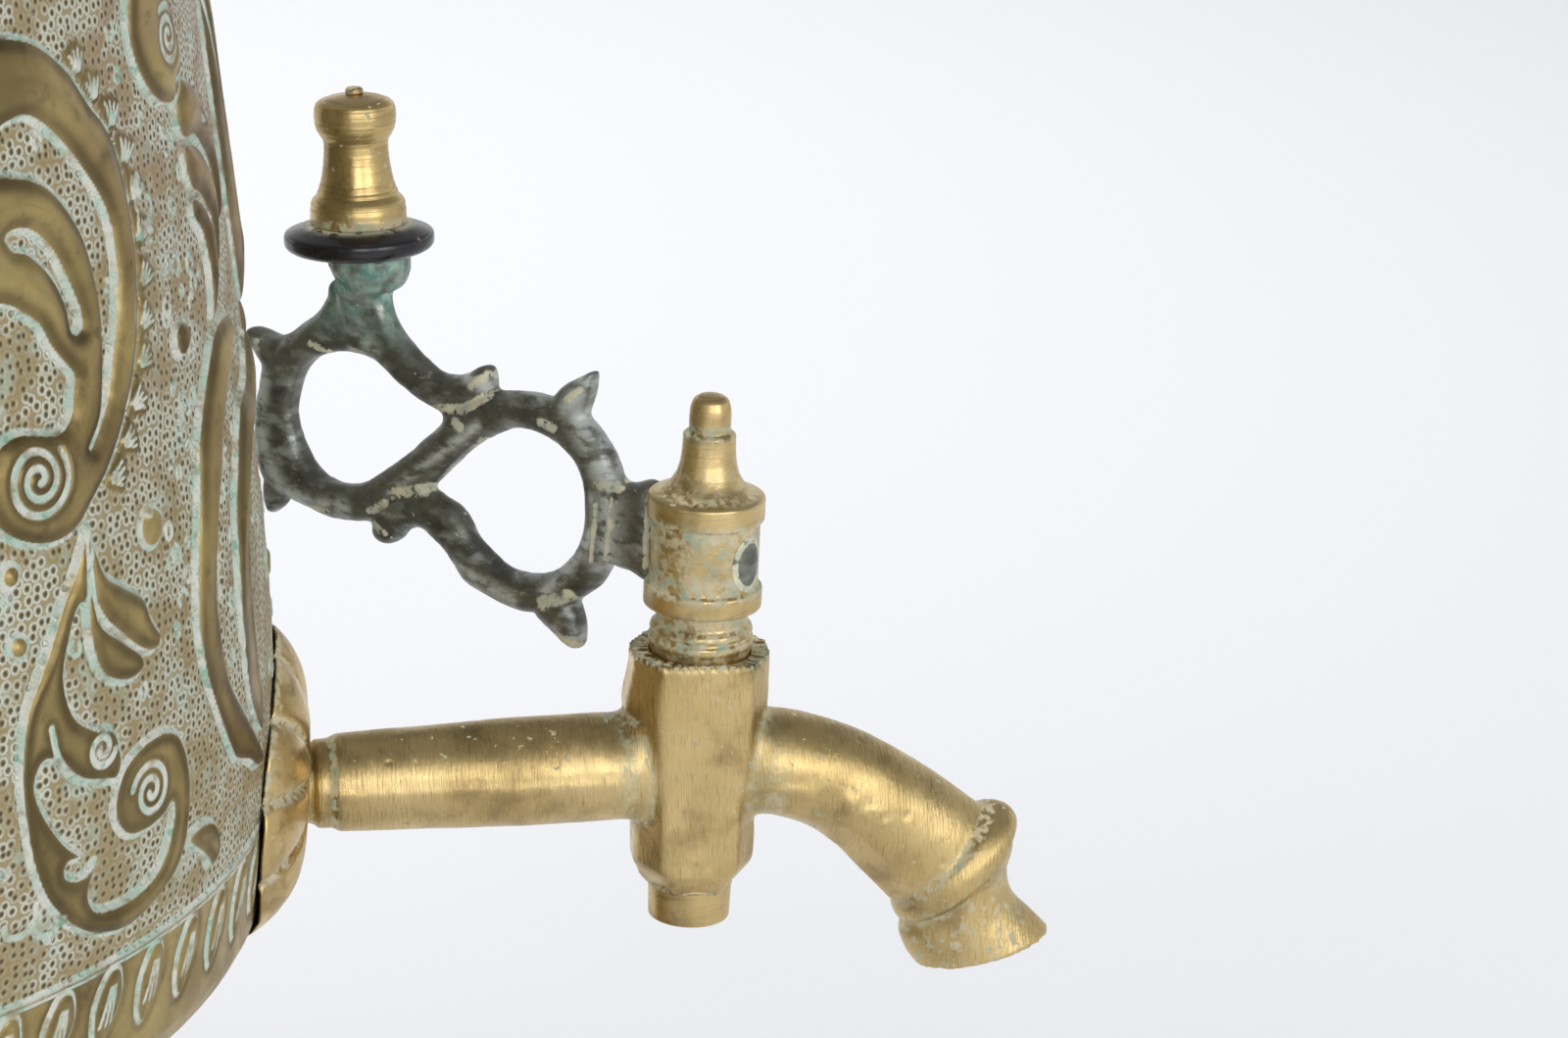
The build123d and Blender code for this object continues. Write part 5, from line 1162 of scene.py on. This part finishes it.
# The knob's neck, as (how far up, to the side of the neck's foot, half thickness).
neck_stations = [(0.85, -1.7, 6.35), (0.0, -1.7, 6.35), (-1.2, -1.6, 6.25), (-2.3, -1.3, 5.9),
                 (-3.5, -0.8, 4.7), (-5.5, -0.2, 3.9), (-8.5, 0, 3.7), (-11.0, 0, 3.2)]


def key_flat(marks):
    """Marks on the sheet as (out from the plug's axis, up) in millimetres."""
    terms = np.column_stack([np.ones(len(marks)), np.asarray(marks, float) / 1000])
    return np.column_stack([terms @ sheet_out, terms @ sheet_up]) / (terms @ sheet_slant)[:, None]


key_place = plug_frame() @ Matrix.Rotation(radians(key_angle), 4, "Z")
knob_place = (key_place @ Matrix.Translation((knob_reach, 0, knob_seat))
              @ Matrix.Rotation(radians(knob_lean), 4, "Y"))

# The scroll is two sheets of points, back to back, that swell into round bars between the outlines.
reach_axis, rise_axis = np.arange(6.0, 91.0, key_cell), np.arange(6.0, 60.0, key_cell)
key_grid = (reach_axis, rise_axis)
smooth_lines = {name: smooth_line(key_flat(points), True, 6) for name, points in key_lines.items()}
solid = within(smooth_lines["outer"], key_grid)
solid &= ~within(smooth_lines["near_hole"], key_grid) & ~within(smooth_lines["far_hole"], key_grid)
rim_far = np.min([away_from(points, 4.0, key_grid) for points in smooth_lines.values()], axis=0)
rim_far = rim_far.astype(float)
half = key_bar * np.sqrt(np.clip(1 - (1 - ramp(rim_far, 0, key_edge)) ** 2, 0, 1))
for marks, depth in key_folds:
    half -= depth * bell(away_from(smooth_line(key_flat(marks), False, 6), 4.0, key_grid), 0.55)
half = np.where(solid, np.maximum(half, 0.15), 0)
index = -np.ones(solid.shape, int)
index[solid] = np.arange(solid.sum())
j, i = np.nonzero(solid)
sheet = np.stack([reach_axis[i], 0 * i, rise_axis[j]], -1)
front, back = sheet.copy(), sheet.copy()
front[:, 1], back[:, 1] = -half[solid] - 0.05, half[solid] + 0.05
corner_ids = np.stack([index[:-1, :-1], index[:-1, 1:], index[1:, 1:], index[1:, :-1]], -1).reshape(-1, 4)
cells = corner_ids[(corner_ids >= 0).all(1)]
count = len(sheet)
edges = np.concatenate([cells[:, [k, (k + 1) % 4]] for k in range(4)])
code = edges[:, 0] * count + edges[:, 1]
rim_edges = edges[~np.isin(code, edges[:, 1] * count + edges[:, 0])]
walls = np.stack([rim_edges[:, 1], rim_edges[:, 0], rim_edges[:, 0] + count, rim_edges[:, 1] + count], -1)
scroll_faces = np.concatenate([cells, cells[:, ::-1] + count, walls])
scroll = link_mesh("scroll", moved(np.concatenate([front, back]), key_place), scroll_faces.tolist())


def tapered_bar(name, stations, place, count=20):
    """A round bar that follows (up, to the side, half thickness) stations in a place's own plane."""
    path = [Vector((side, 0, up)) for up, side, _ in stations]
    rings = []
    for k, (point, (_, _, thick)) in enumerate(zip(path, stations)):
        way = (path[min(k + 1, len(path) - 1)] - path[max(k - 1, 0)]).normalized()
        side = Vector((0, 1, 0))
        up = way.cross(side).normalized()
        rings += [tuple(point + side * cos(a) * thick + up * sin(a) * thick)
                  for a in np.linspace(0, 2 * pi, count, endpoint=False)]
    faces = ring_faces(len(path), count).tolist()
    faces += [list(range(count))[::-1], [(len(path) - 1) * count + n for n in range(count)]]
    return link_mesh(name, moved(rings, place), faces)


key = joined_parts("scrolled_key", scroll, tapered_bar("neck", neck_stations, knob_place))
remesh(key, key_grain)
skin = Skin(key.data)
points = skin.smooth(places(key.data), 0.5, 9)
put_places(key.data, points)
lump = 0.09 * ripple(points, 7.0, founder) + 0.03 * ripple(points, 2.4, founder)
points = points + outward(key.data) * lump[:, None]
# The bar stays clear of the plug that it is tenoned into.
local = moved(points, plug_frame().inverted())
far = np.hypot(local[:, 0], local[:, 1])
keep_out = np.where((local[:, 2] > 27.3) & (local[:, 2] < 37.3), barrel_clear, collar_clear)
push = np.clip(keep_out - far, 0, 2) * (far > 5)
local[:, :2] += local[:, :2] / np.maximum(far, 1)[:, None] * push[:, None]
points = moved(local, plug_frame())
put_places(key.data, points)
own = moved(points, key_place.inverted())
column = np.clip(((own[:, 0] - reach_axis[0]) / key_cell).astype(int), 0, len(reach_axis) - 1)
row = np.clip(((own[:, 2] - rise_axis[0]) / key_cell).astype(int), 0, len(rise_axis) - 1)
for name, lines in (("cream", cream_marks), ("scuff_sheen", scuff_and_sheen_marks)):
    field = np.max([bell(away_from(key_flat(marks), 5.0, key_grid), reach) for marks, reach in lines], axis=0)
    set_mask(key.data, name, field[row, column])
set_mask(key.data, "hollow", np.clip(skin.hollow(points, outward(key.data), 8) / 0.02, 0, 1))
set_mask(key.data, "green", ramp(own[:, 2], 48.5, 57.5) * (np.abs(own[:, 0] - knob_reach) < 11))
key.data.shade_smooth()

black_olive, warm_black, rubbed = (0.150, 0.150, 0.118), (0.085, 0.087, 0.074), (0.42, 0.41, 0.34)
blue_grey, sea_green, pale_green = (0.56, 0.60, 0.575), (0.115, 0.27, 0.235), (0.36, 0.50, 0.43)
pale_cream, grey_cream = (0.74, 0.71, 0.52), (0.56, 0.58, 0.47)
bronze = Finish("old_bronze")
scuff = bronze.squeezed((0.6, 0.6, 1.3))
rub = bronze.times(bronze.patches(0.50, 6, 0.58, 0.70, rough=0.7, where=scuff),
                   bronze.patches(0.07, 3, 0.35, 0.6, 0.25, 0.95))
dust = bronze.times(bronze.patches(0.32, 6, 0.44, 0.66, where=scuff),
                    bronze.patches(0.05, 3, 0.42, 0.60, 0.20, 0.6))
# Painted sheen in blue-grey, over real rubbed wear, along the listed marks.
scuff_sheen = bronze.times(bronze.mask("scuff_sheen"), bronze.patches(0.5, 6, 0.34, 0.56, 0.15, 1.0, 0.6, scuff))
# From here on dust also carries that painted sheen.
dust = bronze.most(dust, scuff_sheen)
green = bronze.times(bronze.mask("green"), bronze.patches(0.3, 4, 0.3, 0.6))
caked = bronze.most(bronze.mask("cream"), bronze.times(bronze.mask("hollow"), 0.8))
broken = bronze.sums("ADD", bronze.noise(0.7, 6, 0.65), bronze.times(caked, 0.16))
caked = bronze.times(bronze.spread(caked, 0.22, 0.6), bronze.spread(broken, 0.50, 0.60))
caked = bronze.most(caked, bronze.times(bronze.patches(0.8, 3, 0.69, 0.74), 0.85))
colour = bronze.mix(bronze.patches(0.10, 5, 0.35, 0.65), black_olive, warm_black)
colour = bronze.mix(rub, colour, rubbed)
colour = bronze.mix(dust, colour, blue_grey)
colour = bronze.mix(green, colour, bronze.mix(bronze.patches(0.5, 4, 0.4, 0.64), sea_green, pale_green))
colour = bronze.mix(caked, colour, bronze.mix(bronze.patches(0.3, 3, 0.4, 0.6), pale_cream, grey_cream))
dull = bronze.most(caked, green, bronze.times(dust, 0.45))
bronze.surface(colour, bronze.most(bronze.patches(0.3, 5, 0.3, 0.7, 0.30, 0.5), bronze.times(dull, 0.85)),
               bronze.spread(dull, 0.0, 0.6, 0.70, 0.0))
bronze.raise_by((bronze.noise(0.8, 5, where=scuff), 0.07), (bronze.noise(2.4, 3), 0.035), (caked, 0.10))
key.data.materials.append(bronze.material)
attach(key, "tap_key")
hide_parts("key_handle")

# The tenon's end, peened into an oval on the plug's far side, with polish caught round it.
peen_rings = [(1.25, 0.02, 1.0), (1.03, 0.16, 1.0), (0.92, 0.35, 0.1), (0.6, 0.55, 0.0), (0.2, 0.6, 0.0),
              (0.01, 0.6, 0.0)]  # size as a share of the tenon's, how far it stands out, polish on it
peen_count = 32
peen_points = []
for share, lift_out, _ in peen_rings:
    for a in np.linspace(0, 2 * pi, peen_count, endpoint=False):
        side, up = tenon_half_width * share * cos(a), tenon_half_height * share * sin(a)
        peen_points.append((-(tenon_seat ** 2 - side ** 2) ** 0.5 - lift_out, side, tenon_level + up))
peen = link_mesh("peened_tenon", moved(peen_points, key_place),
                 [face[::-1] for face in ring_faces(len(peen_rings), peen_count).tolist()])
for name in ("hollow", "cream"):
    set_mask(peen.data, name, np.repeat([polish for _, _, polish in peen_rings], peen_count))
peen.data.materials.append(bronze.material)
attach(peen, "tap_key")

# ---------------------------------------------------------------- knobs and their discs
# Each knob is turned brass with lathe lines left in it, on a lacquered black disc. A stud through both is
# peened over on top. Polish has caked where knob and disc meet.
knob_outline = [
    (0, 0.9), (7.05, 0.9), (7.1, 1.3), (7.08, 3.2), (6.95, 3.7), (7.0, 3.9), (6.75, 4.5), (6.1, 5.2),
    (5.95, 5.35), (5.98, 5.6), (5.75, 6.1), (5.4, 7.2), (5.15, 8.4), (4.95, 9.6), (4.82, 10.8), (4.72, 12.0),
    (4.72, 12.9), (4.85, 13.5), (5.3, 14.2), (5.75, 15.0), (5.95, 15.9), (6.02, 17.2), (5.95, 18.1),
    (5.7, 18.75), (5.2, 19.2), (4.0, 19.65), (2.4, 20.0), (1.3, 20.15), (0, 20.2)]
disc_outline = [
    (0, 0.02), (6.2, 0.02), (6.2, 0.85), (8.7, 0.9), (9.9, 1.1), (10.7, 1.55), (11.05, 2.1), (11.1, 2.7),
    (11.08, 3.3), (10.9, 3.75), (10.5, 3.98), (9.3, 4.45), (7.9, 4.95), (7.3, 5.08), (0, 5.08)]
stud_outline = [(0, 0), (1.15, 0), (1.2, 24.3), (1.35, 24.45), (1.32, 25.0), (1.0, 25.3), (0, 25.4)]
disc_thickness, stud_under = 4.2, 4.9
stud_count = 24
lid_knob_reach, lid_knob_seat, damper_seat = 55.0, 324.376, 348.2
lacquer, lacquer_brown = (0.010, 0.010, 0.012), (0.024, 0.016, 0.013)
chipped_wood, dusty = (0.42, 0.20, 0.11), (0.52, 0.50, 0.38)


def black_gloss(name, glaze, brown, chip_at, wear_at):
    """Old black lacquer over wood: brown where hands rub it, with chips down to the wood."""
    made = Finish(name)
    streak = made.squeezed((0.5, 0.5, 3.0))
    chips = made.patches(0.16, 4, *chip_at, rough=0.6)
    caked = made.times(made.mask("caked"), made.patches(0.5, 4, 0.36, 0.5))
    dust = made.most(made.times(made.patches(1.4, 4, 0.62, 0.74), 0.05), caked)
    dull = made.most(chips, dust)
    colour = made.mix(made.patches(0.25, 5, *wear_at, 0.0, 0.75, where=streak), glaze, brown)
    colour = made.mix(chips, colour, chipped_wood)
    made.surface(made.mix(dust, colour, dusty),
                 made.most(made.patches(0.5, 4, 0.3, 0.7, 0.16, 0.30), made.times(dull, 0.8)))
    made.raise_by((made.noise(0.5, 4, where=streak), 0.02), (made.times(dull, made.noise(2.0, 3)), 0.10))
    return made.material


disc_black = black_gloss("disc_lacquer", lacquer, lacquer_brown, (0.70, 0.74), (0.55, 0.75))
knob_brass = worn_brass("knob_brass", (0.10, 0.10, 2.6), 0.035, (("chalked", 1.0),))
knob_sets = [  # whose they are, where each disc sits, the body, and the nodes of disc, knob and stud
    ("key", [knob_place], "tap_key", "key_disc", "key_knob", "key_stud"),
    ("lid", [Matrix.Translation((side * lid_knob_reach, 0, lid_knob_seat)) for side in (-1, 1)],
     "lid_body", "lid_knob_discs", "lid_knobs", "lid_knob_studs"),
    ("damper", [Matrix.Translation((0, 0, damper_seat))], "damper_body", "damper_disc", "damper_knob",
     "damper_stud")]
long_stud = [(r, z + (0 if z < 1 else stud_under)) for r, z in stud_outline]
for owner, seats, body, disc_node, knob_node, stud_node in knob_sets:
    made = {"disc": [], "knob": [], "stud": []}
    for seat in seats:
        disc, line = turned("disc", disc_outline, seat, 0.2, 0.5)
        under_knob = np.clip(1.3 * bell(line[:, 0] - 7.2, 0.9), 0, 1) * (line[:, 1] > 4.2)
        made["disc"].append((disc, np.repeat(under_knob, turn_count)))
        above = seat @ Matrix.Translation((0, 0, disc_thickness))
        knob, line = turned("knob", knob_outline, above, 0.15, 0.3, 0.02)
        made["knob"].append((knob, np.repeat(bell(line[:, 1] - 1.1, 1.1), turn_count)))
        below = seat @ Matrix.Translation((0, 0, -stud_under))
        stud, line = turned("stud", long_stud, below, 0.1, 0.5, count=stud_count)
        made["stud"].append((stud, np.full(len(line) * stud_count, 0.6)))
    for kind, node, slot, material, mask in (("disc", disc_node, "black_disc", disc_black, "caked"),
                                             ("knob", knob_node, "turned_brass", knob_brass, "chalked"),
                                             ("stud", stud_node, "turned_brass", knob_brass, "chalked")):
        piece = joined_parts(f"{owner}_{kind}_turned", *[item for item, _ in made[kind]])
        piece.data.shade_smooth()
        set_mask(piece.data, mask, np.concatenate([polish for _, polish in made[kind]]))
        piece.data.materials.append(material)
        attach(piece, body)
        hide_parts(node)

# ---------------------------------------------------------------- plinth, feet, side brackets and gallery
# Sand castings like the tap's, dressed with a file and gone brown in patches.
aged_brass = ((0.42, 0.315, 0.135), (0.20, 0.145, 0.062), (0.52, 0.40, 0.19))
plinth_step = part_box("plinth")[1].z / mm - 4.0


def dress(material, *names):
    """Give solids of the part a finish."""
    for name in names:
        worn = nodes[name].data.materials
        for slot in range(len(worn)):
            worn[slot] = material


dressed_brass = worn_brass("dressed_brass", (0.6, 0.6, 1.6), 0.05, tones=aged_brass,
                           caked_levels=[plinth_step])
dress(dressed_brass, "plinth", "bun_feet", "right_handle_bracket", "left_handle_bracket", "crown_struts")

# ---------------------------------------------------------------- turned rings, nuts, screws and rivets
# Lathe work from brass bar and plate. The tool's fine rings still show on it.
base_ring, cap_ring, shoulder_ring = (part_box(name) for name in (
    "pedestal_base_ring", "pedestal_cap_ring", "shoulder_ring"))
ring_brass = worn_brass("ring_brass", (0.10, 0.10, 2.2), 0.03, tones=aged_brass, caked_levels=[
    end.z / mm for ring in (base_ring, cap_ring, shoulder_ring) for end in ring[:2]])
dress(ring_brass, "pedestal_base_ring", "pedestal_cap_ring", "pedestal_screws", "shoulder_ring",
      "crown_ring", "handle_rods", "handle_rod_nuts", "handle_rivets", "tap_back_nut", "vent_seat",
      "vent_shutter")

# ---------------------------------------------------------------- spun sheet brass
# Pedestal, lid, gallery disc and damper cap are spun from sheet, with spinning rings and handling marks.
lid_foot, lid_step, past_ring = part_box("lid")[0].z / mm, 5.5, 0.6
spun_brass = worn_brass("spun_brass", (0.07, 0.07, 1.1), 0.03, tones=aged_brass, caked_levels=[
    base_ring[1].z / mm + past_ring, cap_ring[0].z / mm - past_ring, lid_foot, lid_foot + lid_step])
dress(spun_brass, "pedestal", "lid", "crown_seat", "damper_cap")

# ---------------------------------------------------------------- grips
# Turned hardwood, stained black and waxed; brown shows through where hands hold it.
stained, rubbed_brown = (0.020, 0.016, 0.014), (0.095, 0.045, 0.024)
grip_wood = black_gloss("ebonised_wood", stained, rubbed_brown, (0.78, 0.82), (0.44, 0.70))
dress(grip_wood, "right_handle_grip", "left_handle_grip")


def patched(name, first, second, third, share, metallic, rough, depth):
    """A plain finish with two kinds of patch on it and a fine grain."""
    made = Finish(name)
    patch = made.times(made.patches(0.25, 6, 0.48, 0.62, rough=0.65), share)
    colour = made.mix(made.patches(0.08, 5, 0.38, 0.66), first, second)
    made.surface(made.mix(patch, colour, third), made.patches(0.4, 5, 0.3, 0.7, rough, rough + 0.22))
    if metallic:
        made.wire(made.shader.inputs["Metallic"], made.spread(patch, 0.1, 0.8, metallic, metallic * 0.3))
    made.raise_by((made.noise(0.6, 6, 0.65), depth), (made.noise(2.5, 3), depth * 0.5))
    return made.material


# ---------------------------------------------------------------- fire tube and tank floor
# Copper sheet, tinned grey on the water side and smoked brown where the charcoal burns.
tin, dark_tin, smoked_copper = (0.34, 0.33, 0.31), (0.22, 0.21, 0.20), (0.30, 0.15, 0.085)
tinned_sheet = patched("tinned_sheet", tin, dark_tin, smoked_copper, 0.7, 0.9, 0.34, 0.05)
dress(tinned_sheet, "fire_tube", "tank_floor", "floor_seam_ring")

# ---------------------------------------------------------------- grate
# Cast iron, scaled and rusty from the fire.
iron, pale_iron, rust = (0.055, 0.050, 0.048), (0.085, 0.075, 0.070), (0.19, 0.075, 0.035)
fired_iron = patched("fired_iron", iron, pale_iron, rust, 0.9, 0.6, 0.62, 0.16)
dress(fired_iron, "grate", "grate_ledge")

# ---------------------------------------------------------------- gasket
# A washer of oiled leather that seals the tap against the tank.
leather, dry_leather, oiled = (0.115, 0.058, 0.030), (0.17, 0.09, 0.048), (0.07, 0.038, 0.022)
oiled_leather = patched("oiled_leather", leather, dry_leather, oiled, 0.8, 0.0, 0.55, 0.10)
dress(oiled_leather, "tap_gasket")
